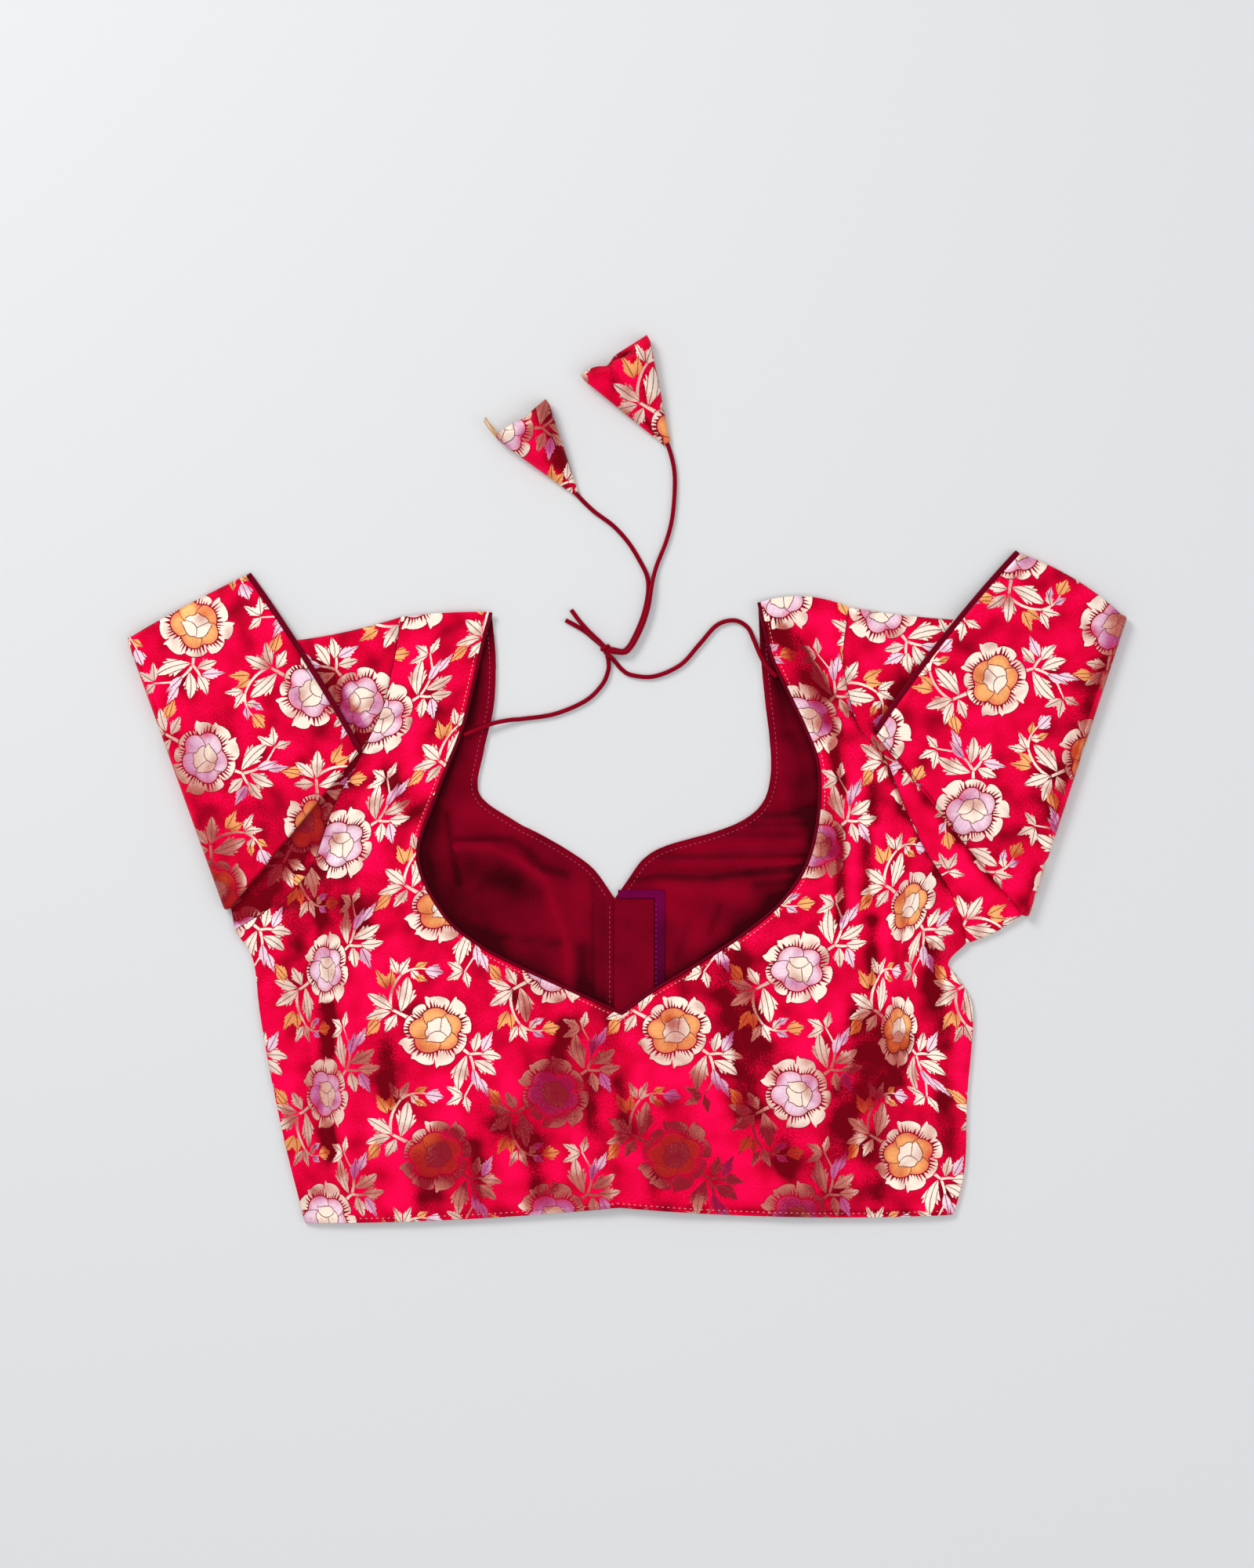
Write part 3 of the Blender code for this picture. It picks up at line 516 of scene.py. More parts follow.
tips = t.math("MULTIPLY", t.math("MULTIPLY", comb, 0.8), outer)
edge = dark_line(t.math("ADD", past_petals, 0.3), 1.8, 0.9)
drawn = t.math("MAXIMUM", t.math("MAXIMUM", outline, rim_line), t.math("MAXIMUM", tips, inner))
drawn = t.math("MAXIMUM", drawn, t.math("MAXIMUM", edge, strands))
t.tree.links.new(t.math("MULTIPLY_ADD", given["Lines"], keep, drawn), out["Lines"])
print("rose of", len(PETALS), "petals")

# %% [markdown]
# ### One repeat of the pattern
#
# The two sprays are a table of roots, tips, widths and bends, in millimetres from the
# middle of the rose. A colour that changes over between the columns is marked so.

# %% Sprays of the repeat
SPRAYS = [
    # middle of the spray, then its parts:
    # form, root x, y, tip x, y, width, bend, colour; a pair also has the axis that mirrors it
    ((22.3, -24.8), [
        ("stem", 15, -10.2, 21.5, -15.2, 2.2, 0, "gold"),
        ("stem", 20, -14.4, 33, -15.6, 1.9, 1.2, "gold"),
        ("stem", 20.5, -15, 22.2, -31.5, 1.9, 1.4, "gold"),
        ("stem", 22.2, -30.5, 17, -40.2, 1.3, 0, "gold"),
        ("leaf", 23, -13, 25.8, -0.4, 7.2, 0, "gold"),
        ("bud", 27.8, -12.8, 34.6, 0.4, 6, 0, "lilac"),
        ("leaf", 27, -15, 40.2, -16.4, 7.6, 1, "gold"),
        ("leaf", 22.5, -18, 36.6, -26.9, 8.8, 1, "gold"),
        ("leaf", 18.6, -14.5, 13.4, -36.2, 10.4, -1.6, "gold"),
        ("bud", 22.7, -23, 25.6, -37.3, 5.2, 0, "lilac"),
        ("bud", 26.4, -28.5, 32.2, -40.9, 4.8, 0, "lilac"),
        ("bud", 33, -39.4, 38.6, -47.2, 3.8, 0, "orange"),
        ("leaf", 16.2, 0.3, 5.6, 5.6, 5.4, 0, "gold", "Y", -39.3),
        ("leaf", 17.6, -39.2, 19.8, -50, 5.2, 0, "gold"),
    ]),
    ((-17.7, 20.8), [
        ("stem", -16, 8, -25.5, 13.2, 2.3, 0, "gold"),
        ("stem", -25.4, 12.4, -19.2, 34.8, 2, 2.8, "gold"),
        ("stem", -19.9, 34, -5, 37.2, 1.6, 2, "gold"),
        ("leaf", -20.2, 11.2, -16, 33, 10.6, -0.8, "gold"),
        ("leaf", -24.5, 13.2, -39, 22.6, 8.6, 0, "gold"),
        ("leaf", -25.5, 11.6, -40, 7.2, 7.4, -0.6, "gold"),
        ("leaf", -22.5, 10.2, -28.9, -1, 7, 0, "gold"),
        ("bud", -31.6, 6, -40, -3.4, 6, 0, "orange"),
        ("bud", -27.4, 25.4, -34.4, 37.8, 5.8, 0, "orange"),
        ("bud", -26, 27, -25, 38, 5.2, 0, "orange"),
        ("leaf", -14.6, 37, -9, 29.8, 4.8, 0, "gold"),
        ("leaf", 0.4, 34.3, 5.8, 45, 5, 0, "gold", "X", -21.1),
        ("bud", -12.2, 2.4, -4.8, 6, 4.2, 0, "orange or lilac", "Y", 35.8),
        ("bud", -6.6, 36.8, 4.6, 35.2, 8.4, 0, "lilac or orange"),
    ]),
]
SMALL_WIDTH = 6.0
SLANT = 0.12
# a line's edge rises less fast than a form's, and forms are drawn this much narrower
LINE_EDGE, LINE_LEVEL, NARROWER = 2.8, 0.35, 0.12

pattern_group, t, given, out = new_group("brocade_pattern", ["Across", "Along"], WOVEN)


def folded_round(middle):
    """The cloth folded onto one repeat, centred on a part of it."""
    values = {"Across": given["Across"], "Along": given["Along"]}
    return t.group(fold_group, {**values, "Centre X": middle[0], "Centre Y": middle[1]})


def placing(x0, y0, x1, y1, slant):
    """The sums that turn a place in the repeat into shares along a part and mm across it."""
    length = math.hypot(x1 - x0, y1 - y0)
    forward = np.array([x1 - x0, y1 - y0]) / length
    aside = np.array([-forward[1], forward[0]])
    along = (forward + slant * aside) / length
    root = np.array([x0, y0])
    return dict(zip(PLACING, (*along, -along @ root, *aside, -aside @ root)))


OUTSIDE = -50.0
inside = dict.fromkeys(WOVEN, OUTSIDE)
for middle, parts in SPRAYS:
    folded = folded_round(middle)
    # for a dye that changes over: out of reach in every second column, or in the others
    even_only = t.math("MULTIPLY", folded["Odd"], OUTSIDE)
    odd_only = t.math("SUBTRACT", OUTSIDE, even_only)
    for k, (form, x0, y0, x1, y1, width, bend, colour, *mirror) in enumerate(parts):
        slant = 0.0 if form == "stem" else SLANT * (-1) ** k
        small = form != "stem" and width <= SMALL_WIDTH
        values = placing(x0, y0, x1, y1, slant)
        values.update({"X": folded["X"], "Y": folded["Y"]})
        values.update({"Half Width": width / 2, "Bend": -4.0 * bend})
        if mirror:
            axis, place = mirror
            values[axis] = t.math("ABSOLUTE", t.math("SUBTRACT", folded[axis], place))
        drawn = t.group(form_groups[form, small], values)
        inward = drawn["Inward"]
        if not small:
            # a thin gap is left round it
            kept = t.math("MULTIPLY_ADD", inward, -1.0, -GAP)
            for name in ("Gold", "Lines"):
                if inside[name] != OUTSIDE:
                    inside[name] = t.math("MINIMUM", inside[name], kept)
        first, _, second = colour.partition(" or ")
        reached = {first.capitalize(): inward}
        if second:
            reached = {first.capitalize(): t.math("ADD", inward, even_only),
                       second.capitalize(): t.math("ADD", inward, odd_only)}
        if form != "stem":
            reached["Lines"] = drawn["Rib"]
        for name, reach in reached.items():
            if inside[name] != OUTSIDE:
                reach = t.math("MAXIMUM", inside[name], reach)
            inside[name] = reach
woven = {}
for name in WOVEN:
    edge, level = (LINE_EDGE, LINE_LEVEL) if name == "Lines" else (EDGE, 0.5 - NARROWER * EDGE)
    woven[name] = t.math("MULTIPLY_ADD", inside[name], edge, level, clamp=True)
folded = folded_round((0.0, 0.0))
drawn = t.group(rose_group, {"X": folded["X"], "Y": folded["Y"], "Odd": folded["Odd"], **woven})
for name in WOVEN:
    t.tree.links.new(drawn[name], out[name])
print("parts in a repeat", sum(len(parts) for _, parts in SPRAYS) + 1)

# %% [markdown]
# ## Materials, with painted light and shade
#
# Silk brocade changes with the way that it faces the light: the crimson ground runs from
# nearly black red to pink, and the golden weft turns to copper where it doesn't catch the
# lamps. Gloss alone gives too little of that under soft light, so that light and shade is
# painted into the colour: two values are kept at each point of the cloth, "light_and_shade"
# for the ground and "weft_shade" for the weft, given from soft strokes. The shader mixes
# the colours by them.

# %% Weave group, shared by every cloth
THREAD_GRAIN = (0.95, 0.8, 1.0)
MOTTLE_SCALE = 0.055

weave_group, t, given, out = new_group(
    "fine_weave", ["Cloth", "Fineness"], ["Threads", "Mottle"], vectors=["Cloth"])
fine = t.scaled(given["Cloth"], given["Fineness"])
threads = t.noise(t.vector("MULTIPLY", {0: fine, 1: THREAD_GRAIN}), 1.0, 1.0, 0.8)
t.tree.links.new(threads, out["Threads"])
t.tree.links.new(t.noise(given["Cloth"], MOTTLE_SCALE, 1.0, 0.55), out["Mottle"])

# %% Brocade
# the ground in painted shade, plain, and in painted highlight
GROUND = {"dark": (0.155, 0.0, 0.003), "plain": (0.74, 0.0, 0.031), "bright": (1.0, 0.001, 0.072)}
WEFT = {
    # colour where it catches the light, where it only half does, and where it doesn't
    "gold": ((1.0, 0.86, 0.70), (0.52, 0.16, 0.12), (0.25, 0.010, 0.018)),
    "lilac": ((0.94, 0.69, 0.78), (0.50, 0.10, 0.26), (0.30, 0.006, 0.045)),
    "orange": ((1.0, 0.46, 0.16), (0.56, 0.08, 0.02), (0.36, 0.012, 0.010)),
}
LINE_COLOUR = (0.16, 0.0, 0.008)
SILK_TINT = (1.0, 0.08, 0.18, 1.0)
# how far in mm the weave moves the pattern's edges across and along the cloth
ACROSS_SHAKE, ALONG_SHAKE = 0.4, 0.3
BUMP_HEIGHT, SILK_BUMP, PLAIN_BUMP = 0.0002, 0.5, 0.4


def brocade_material(name):
    """The figured silk, from its cloth coordinates, with painted light and shade from two values.
    """
    material = new_material(
        name, GROUND["plain"], 0.5, Specular_IOR_Level=0.22, Specular_Tint=SILK_TINT)
    t = Tree(material.node_tree)
    shader = material.node_tree.nodes["Principled BSDF"]
    uv = t.node("ShaderNodeUVMap", uv_map="cloth").outputs[0]
    cloth = t.scaled(uv, 1 / MM)
    light_and_shade = t.node("ShaderNodeAttribute", attribute_name="light_and_shade").outputs["Fac"]
    weft_shade = t.node("ShaderNodeAttribute", attribute_name="weft_shade").outputs["Fac"]
    weave = t.group(weave_group, {"Cloth": cloth, "Fineness": 1.0})
    shake = t.noise(cloth, 1.3, 0.0)
    across, along, _ = t.split(cloth)
    moved = t.math("MULTIPLY_ADD", shake, ACROSS_SHAKE, -ACROSS_SHAKE / 2)
    across = t.math("ADD", across, moved)
    moved = t.math("MULTIPLY_ADD", weave["Threads"], ALONG_SHAKE, -ALONG_SHAKE / 2)
    along = t.math("ADD", along, moved)
    pattern = t.group(pattern_group, {"Across": across, "Along": along})
    gold, lilac, orange = (pattern[name] for name in WOVEN[:3])
    patchy = t.math("MULTIPLY_ADD", weave["Mottle"], 7.0, -2.2)
    speckle = t.math("MULTIPLY", t.math("SUBTRACT", weave["Threads"], 0.5), patchy)
    cloudy = t.math("MULTIPLY_ADD", weave["Mottle"], 2.4, -1.2)
    # the ground's painted light and shade, with random speckle and clouds of the weave
    level = t.math("ADD", t.math("ADD", light_and_shade, speckle), cloudy)
    ground = t.mix(t.math("ADD", level, 1.0, clamp=True), GROUND["dark"], GROUND["plain"])
    ground = t.mix(t.math("MULTIPLY", level, 1.0, clamp=True), ground, GROUND["bright"])
    # painted shade on the weft, from half-lit to unlit, with random patches
    uneven = t.math("MULTIPLY_ADD", weave["Threads"], 0.4, -0.2)
    patches = t.math("MULTIPLY_ADD", weave["Mottle"], 2.6, -1.25, clamp=True)
    shaded = t.math("MULTIPLY_ADD", patches, 0.5, weft_shade)
    dimmed = t.math("MULTIPLY_ADD", uneven, t.math("ADD", shaded, 0.2), shaded)
    dimmed = t.math("MULTIPLY", dimmed, 2.0)
    half_dimmed = t.math("MULTIPLY", dimmed, 1.0, clamp=True)
    fully_dimmed = t.math("SUBTRACT", dimmed, 1.0, clamp=True)
    colour = ground
    for mask, thread in ((gold, "gold"), (lilac, "lilac"), (orange, "orange")):
        lit, half_lit, unlit = WEFT[thread]
        silk = t.mix(fully_dimmed, t.mix(half_dimmed, lit, half_lit), unlit)
        colour = t.mix(mask, colour, silk)
    lines = t.math("MULTIPLY", pattern["Lines"], t.math("MULTIPLY_ADD", weft_shade, -0.5, 0.92))
    colour = t.mix(lines, colour, LINE_COLOUR)
    t.tree.links.new(colour, shader.inputs["Base Color"])
    woven = t.math("ADD", t.math("ADD", gold, lilac), orange, clamp=True)
    t.tree.links.new(t.math("MULTIPLY_ADD", woven, -0.08, 0.46), shader.inputs["Roughness"])
    t.tree.links.new(t.math("MULTIPLY", woven, 0.18), shader.inputs["Metallic"])
    values = {"Height": shake, "Strength": SILK_BUMP, "Distance": BUMP_HEIGHT}
    bump = t.node("ShaderNodeBump", values)
    t.tree.links.new(bump.outputs[0], shader.inputs["Normal"])
    return material


brocade = brocade_material("crimson_brocade_woven")
print("brocade", len(brocade.node_tree.nodes), "nodes")

# %% Plain cloths
def plain_material(name, colour, deep, roughness, fineness=1.0):
    """A plain cloth: its colour wanders a little, its threads show close up, and painted light and
    shade darkens or brightens it.
    """
    material = new_material(
        name, colour, roughness, Specular_IOR_Level=0.2, Specular_Tint=SILK_TINT)
    t = Tree(material.node_tree)
    shader = material.node_tree.nodes["Principled BSDF"]
    place = t.scaled(t.node("ShaderNodeTexCoord").outputs["Object"], 1 / MM)
    weave = t.group(weave_group, {"Cloth": place, "Fineness": fineness})
    light_and_shade = t.node("ShaderNodeAttribute", attribute_name="light_and_shade").outputs["Fac"]
    drift = t.math("MULTIPLY_ADD", weave["Threads"], 0.3, 0.2)
    drift = t.math("MULTIPLY_ADD", weave["Mottle"], 0.35, drift)
    drift = t.math("MULTIPLY_ADD", light_and_shade, 0.6, drift, clamp=True)
    t.tree.links.new(t.mix(drift, deep, colour), shader.inputs["Base Color"])
    values = {"Height": weave["Threads"], "Strength": PLAIN_BUMP, "Distance": BUMP_HEIGHT}
    bump = t.node("ShaderNodeBump", values)
    t.tree.links.new(bump.outputs[0], shader.inputs["Normal"])
    return material


wine = plain_material("wine_lining_cloth", (0.30, 0.0, 0.014), (0.026, 0.0, 0.0005), 0.4)
maroon = plain_material("maroon_piping_cloth", (0.19, 0.001, 0.012), (0.07, 0.0, 0.005), 0.5)
violet = plain_material("violet_facing_cloth", (0.26, 0.0, 0.085), (0.05, 0.0, 0.012), 0.5)
cord_cloth = plain_material("crimson_cord_cloth", (0.36, 0.0, 0.014), (0.10, 0.0, 0.003), 0.5, 1.6)
pale_thread = plain_material("pale_thread", (0.90, 0.55, 0.45), (0.70, 0.30, 0.26), 0.5, 2.0)
pink_thread = plain_material("pink_thread", (0.62, 0.10, 0.16), (0.40, 0.03, 0.07), 0.5, 2.0)
violet_thread = plain_material("violet_thread", (0.36, 0.06, 0.34), (0.2, 0.03, 0.2), 0.5, 2.0)
frayed_gold = plain_material(
    "frayed_gold_thread", (0.85, 0.52, 0.22), (0.42, 0.16, 0.05), 0.45, 2.0)

# %% [markdown]
# ## The tie cords
#
# A dori is a narrow bias tube of silk, turned right side out, under 3 mm across. It is limp
# and lies where it falls. The picture shows each cord from end to end: from the neck edge,
# through the knot, to its tassel. Each is one line here, through the points of its route.

# %% Routes of the cords
CORD_RADIUS = 1.35
ON_FLOOR = CORD_RADIUS
DORI_LEFT = [
    (-98.7, 91.9, 4.2), (-90, 95.5, 4.2), (-81, 99, 4.1), (-71, 101, 2.8),
    (-62.5, 101.8, ON_FLOOR), (-43.5, 104.8, ON_FLOOR), (-25, 112.8, ON_FLOOR),
    (-15, 122.6, ON_FLOOR), (-11.4, 131, ON_FLOOR), (-11.2, 136, 1.5),
]
TAIL_LEFT = [
    (-6.2, 143.4, 1.6), (-2.2, 143, ON_FLOOR), (1, 145.6, ON_FLOOR), (4, 150.6, ON_FLOOR),
    (8.4, 160.3, ON_FLOOR), (11.4, 170.2, ON_FLOOR), (12.9, 180, ON_FLOOR),
    (12.2, 188.2, ON_FLOOR), (8.2, 196.8, ON_FLOOR), (1, 208.5, ON_FLOOR),
    (-8.5, 219, ON_FLOOR), (-20.5, 228, ON_FLOOR), (-31, 238.5, 1.8),
]
DORI_RIGHT = [
    (90.5, 127.4, 4.2), (87.2, 130.6, 4.2), (83, 136, 4.1), (79.6, 143, 3.7),
    (76.8, 150, 2.4), (73, 157.5, ON_FLOOR), (65, 161.5, ON_FLOOR), (54.5, 158.5, ON_FLOOR),
    (44, 147, ON_FLOOR), (32.5, 134.5, ON_FLOOR), (16.5, 127.5, ON_FLOOR),
    (2.5, 128.4, ON_FLOOR), (-3.6, 132.2, ON_FLOOR), (-7, 136.2, 1.6),
]
TAIL_RIGHT = [
    (-6.6, 142, 4.2), (-1, 141.9, 3.9), (2.4, 145, 3.7), (5.5, 150, 3.7),
    (9.9, 159.6, 3.7), (12.9, 169.6, 3.7), (14.6, 180, 3.5), (16, 187.6, 2.2),
    (18.5, 196, ON_FLOOR), (24, 210, ON_FLOOR), (27.5, 224, ON_FLOOR),
    (29, 242, ON_FLOOR), (28.3, 255, ON_FLOOR), (24.5, 268.5, 1.8),
]
BOW_END_UPPER = [
    (-16.8, 148.7, 4.1), (-20.6, 152.2, 3.9), (-25, 156.6, 3.6), (-29.6, 162, 2),
    (-33.8, 167.8, ON_FLOOR),
]
BOW_END_LOWER = [
    (-16.4, 147.2, 1.6), (-20.8, 150.9, ON_FLOOR), (-25.2, 154.6, ON_FLOOR),
    (-30.8, 158.1, ON_FLOOR), (-37.3, 161.6, ON_FLOOR),
]
KNOT_CENTRE = (-12.2, 143.8, 3.2)
ROUTES = {
    # piece: its points, the solids that it stands for
    "cord_left": (
        DORI_LEFT + [(-11.9, 140.4, 1.9), (-11.6, 143.2, 2.1), (-9.6, 144.2, 2.0)] + TAIL_LEFT
        + [(-36.4, 245.9, 2.8), (-41.7, 253.0, 3.7)], ("dori_left", "tail_left")),
    "cord_right": (
        DORI_RIGHT + [(-9.3, 138.6, 3.2), (-11.2, 140.6, 4.4), (-10.4, 142.6, 4.6)] + TAIL_RIGHT
        + [(19.8, 276.2, 2.8), (15.2, 283.9, 3.8)], ("dori_right", "tail_right")),
    "bow_upper": ([KNOT_CENTRE] + BOW_END_UPPER, ("bow_end_upper",)),
    "bow_lower": ([KNOT_CENTRE] + BOW_END_LOWER, ("bow_end_lower",)),
}
CORD_STEPS, CORD_SPAN = 14, 1.5

cords, cord_lengths = {}, {}
for name, (route, solids) in ROUTES.items():
    line = np.array(divided(through(route, CORD_STEPS), CORD_SPAN))
    line[:, 2] = np.maximum(line[:, 2], ON_FLOOR)
    cords[name] = tube(name, line, CORD_RADIUS, cord_cloth)
    cord_lengths[name] = line_length(line)
    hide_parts(*solids)
print("cords in mm", {name: round(length, 1) for name, length in cord_lengths.items()})

# %% [markdown]
# ### The knot
#
# Both cords are wound once round themselves and pulled close. A short coil of the same tube
# shows that better than a lump does.

# %% Knot
KNOT_AXIS = np.array([-0.74, 0.67, 0.0])
KNOT_ASIDE = np.array([0.67, 0.74, 0.0])
KNOT_TURNS, KNOT_PITCH, KNOT_START = 1.7, 2.7, 0.6
KNOT_REACH = (1.9, 1.75)
KNOT_STEPS = 40

wrap = []
for k in range(KNOT_STEPS + 1):
    turn = KNOT_TURNS * (k / KNOT_STEPS)
    angle = 2 * math.pi * turn - KNOT_START
    wrap.append(
        np.array(KNOT_CENTRE) + KNOT_AXIS * (turn - KNOT_TURNS / 2) * KNOT_PITCH
        + KNOT_ASIDE * math.cos(angle) * KNOT_REACH[0]
        + np.array([0.0, 0.0, 1.0]) * math.sin(angle) * KNOT_REACH[1]
    )
knot = tube("cord_knot_wrap", wrap, CORD_RADIUS + 0.05, cord_cloth)
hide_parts("cord_knot")

# %% [markdown]
# ### Tassels
#
# Each tassel is a square of brocade folded to a cone round the cord's end, with a little
# wadding in it. Its mouth is open and soft. Folds run from the tip and deepen to the mouth.

# %% Meshes of woven cloth
def cloth_piece(name, points, faces, material, uvs=None, light_and_shade=None, weft_shade=None):
    """A mesh from points in millimetres, with its cloth coordinates and painted light and shade.

    uvs holds one pair of millimetres for each corner of each face."""
    data = bpy.data.meshes.new(name)
    data.from_pydata((np.array(points, float) * MM).tolist(), [], faces)
    if uvs is not None:
        layer = data.uv_layers.new(name="cloth")
        layer.data.foreach_set("uv", (np.array(uvs, float) * MM).ravel())
    for label, values in (("light_and_shade", light_and_shade), ("weft_shade", weft_shade)):
        if values is not None:
            attribute = data.attributes.new(label, "FLOAT", "POINT")
            attribute.data.foreach_set("value", np.array(values, float).ravel())
    data.materials.append(material)
    piece = bpy.data.objects.new(name, data)
    bpy.context.scene.collection.objects.link(piece)
    data.shade_smooth()
    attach(piece, "root")
    return piece


def ring_faces(low, high, count):
    """Faces between two closed rings of points, each given by its first point's number."""
    turns = [(k, (k + 1) % count) for k in range(count)]
    return [(low + k, low + n, high + n, high + k) for k, n in turns]


def turn_outwards(piece, merge=0.02):
    """Merges doubles within that many millimetres and turns all faces outwards."""
    mesh = bmesh.new()
    mesh.from_mesh(piece.data)
    if merge:
        bmesh.ops.remove_doubles(mesh, verts=mesh.verts, dist=merge * MM)
    bmesh.ops.recalc_face_normals(mesh, faces=mesh.faces)
    mesh.to_mesh(piece.data)
    mesh.free()


# %% Tassels
TASSELS = {
    # tip, middle and half width of the mouth, its notch as place, half width and depth,
    # how far its upper lip is drawn back, and how the cloth lies: how far it is turned, where
    # a rose is, where that rose is in the weave, and how much the cloth is stretched; then
    # strokes of painted light and shade, strokes of painted shade on the weft, and folds at the
    # mouth
    "tassel_left": {
        "tip": (-31.0, 238.5), "mouth": (-64.5, 284.0), "half_width": 19.5,
        "notch": (-0.15, 0.3, 1.0), "lip": 2.0,
        "turn": -34.0, "rose": (-76.0, 277.0), "start": ODD_ROSE, "stretch": 1.0,
        "lights_and_shades": [(-76, 268, -47, 245, 5, 0.9), (-52, 288, -42, 256, 7, -0.9),
                  (-60, 262, -52, 268, 5, 0.4), (-42, 246, -36, 240, 3, -0.5)],
        "weft_shades": [(-50, 290, -47, 268, 8, 0.6)],
        "folds": [(-0.55, 0.16, 1.5), (0.12, 0.12, -1.4), (0.55, 0.2, 1.3)],
    },
    "tassel_right": {
        "tip": (24.5, 268.5), "mouth": (-8.0, 322.0), "half_width": 24.0,
        "notch": (0.29, 0.22, 3.0), "lip": 5.0,
        "turn": 0.0, "rose": (36.0, 278.0), "start": (0.0, 0.0), "stretch": 0.87,
        "lights_and_shades": [(-27, 305, -12, 291, 6, 0.9), (-11, 316, -6, 302, 3.5, -0.9),
                  (7, 316, 13, 294, 5, -0.8), (-2, 314, 6, 308, 4, 0.7),
                  (-12, 321, 6, 324, 1.6, -1), (-4, 328, 10, 329, 3, 0.6),
                  (8, 286, 21, 270, 1.8, -0.8)],
        "weft_shades": [(-26, 306, -22, 306, 5, 0.4), (0, 284, -4, 290, 5, 0.3)],
        "folds": [(-0.62, 0.2, 1.6), (-0.2, 0.12, -2.0), (0.2, 0.16, 1.4), (0.62, 0.12, -1.2)],
    },
}
TASSEL_ROWS = [
    # share of the length, share of the half width, half height
    (0.00, 0.10, 1.7), (0.08, 0.17, 2.3), (0.25, 0.33, 3.6), (0.50, 0.57, 5.0),
    (0.75, 0.80, 6.0), (0.93, 0.97, 6.2), (1.00, 0.98, 5.2),
]
TASSEL_LIP = [
    # the rolled lip and the inside: share of the length, and how many walls further in
    (1.004, 0.5), (0.995, 1.0), (0.96, 1.0), (0.88, 1.4), (0.80, 2.4),
]
TASSEL_RINGS, TASSEL_SIDES, TASSEL_WALL = 44, 72, 1.1
TASSEL_START, TASSEL_LOWEST = 0.5, 0.02
# where across the mouth its upper lip is drawn back, and over what half width
LIP_PLACE, LIP_BREADTH = -0.3, 0.5
# painted light: how much brighter a tassel is for each mm of height; and the painted shade
# of its ground and of its weft all over
TASSEL_LIGHT, TASSEL_SHADE, TASSEL_WEFT_SHADE = 0.03, -0.2, 0.1
LIGHT_AND_SHADE_LIMIT = 1.1


def tassel(name, size):
    """A cone of cloth on its side: an outside, a rolled lip and an inside."""
    tip, mouth = np.array(size["tip"]), np.array(size["mouth"])
    length = float(np.linalg.norm(mouth - tip))
    way = (mouth - tip) / length
    across = np.array([-way[1], way[0]])
    shares = [row[0] for row in TASSEL_ROWS]
    turn = math.radians(size["turn"])
    u_axis = np.array([math.cos(turn), math.sin(turn)])
    v_axis = np.array([-math.sin(turn), math.cos(turn)])
    place, breadth, depth = size["notch"]
    points, flat = [], []
    rows = [(k / TASSEL_RINGS, 0.0) for k in range(TASSEL_RINGS + 1)] + TASSEL_LIP
    for share, inward in rows:
        width = np.interp(share, shares, [row[1] for row in TASSEL_ROWS]) * size["half_width"]
        base = np.interp(share, shares, [row[2] for row in TASSEL_ROWS])
        width, height = width - inward * TASSEL_WALL, base - inward * TASSEL_WALL
        for k in range(TASSEL_SIDES):
            angle = 2 * math.pi * k / TASSEL_SIDES
            w = math.cos(angle)
            up = math.sin(angle)
            notch = math.exp(-(((w - place) / breadth) ** 2)) * share**3 * depth
            lip = math.exp(-(((w - LIP_PLACE) / LIP_BREADTH) ** 2)) * share**3 * size["lip"]
            notch += lip * max(up, 0.0)
            z = base + height * up
            if up > 0:
                crease = sum(
                    top * math.exp(-(((w - at) / half) ** 2)) for at, half, top in size["folds"])
                z += crease * (share**1.2 * up**0.5)
            down_the_cone = TASSEL_START + (length - TASSEL_START) * share - notch
            p = tip + way * down_the_cone + across * w * width
            points.append((p[0], p[1], max(z, TASSEL_LOWEST)))
            offset = p - np.array(size["rose"]) + across * w * 0.35 * width * (1 - abs(up)) * 0.5
            u, v = (float(offset @ axis) * size["stretch"] for axis in (u_axis, v_axis))
            flat.append((u + size["start"][0], v + size["start"][1]))
    faces = []
    for r in range(len(rows) - 1):
        faces += ring_faces(r * TASSEL_SIDES, (r + 1) * TASSEL_SIDES, TASSEL_SIDES)
    faces.append(tuple(range(TASSEL_SIDES))[::-1])
    last = (len(rows) - 1) * TASSEL_SIDES
    faces.append(tuple(last + k for k in range(TASSEL_SIDES)))
    uvs = [flat[corner] for face in faces for corner in face]
    x, y, z = np.array(points).T
    # painted light and shade from strokes and from height, and painted shade on the weft
    light_and_shade = strokes(x, y, size["lights_and_shades"]) + TASSEL_LIGHT * z + TASSEL_SHADE
    light_and_shade = np.clip(light_and_shade, -LIGHT_AND_SHADE_LIMIT, LIGHT_AND_SHADE_LIMIT)
    weft_shade = np.clip(strokes(x, y, size["weft_shades"]) + TASSEL_WEFT_SHADE, 0, 1)
    piece = cloth_piece(name + "_cloth", points, faces, brocade, uvs, light_and_shade, weft_shade)
    turn_outwards(piece)
    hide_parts(name)
    return piece


tassels = {name: tassel(name, size) for name, size in TASSELS.items()}
print("tassels", {name: len(piece.data.polygons) for name, piece in tassels.items()})

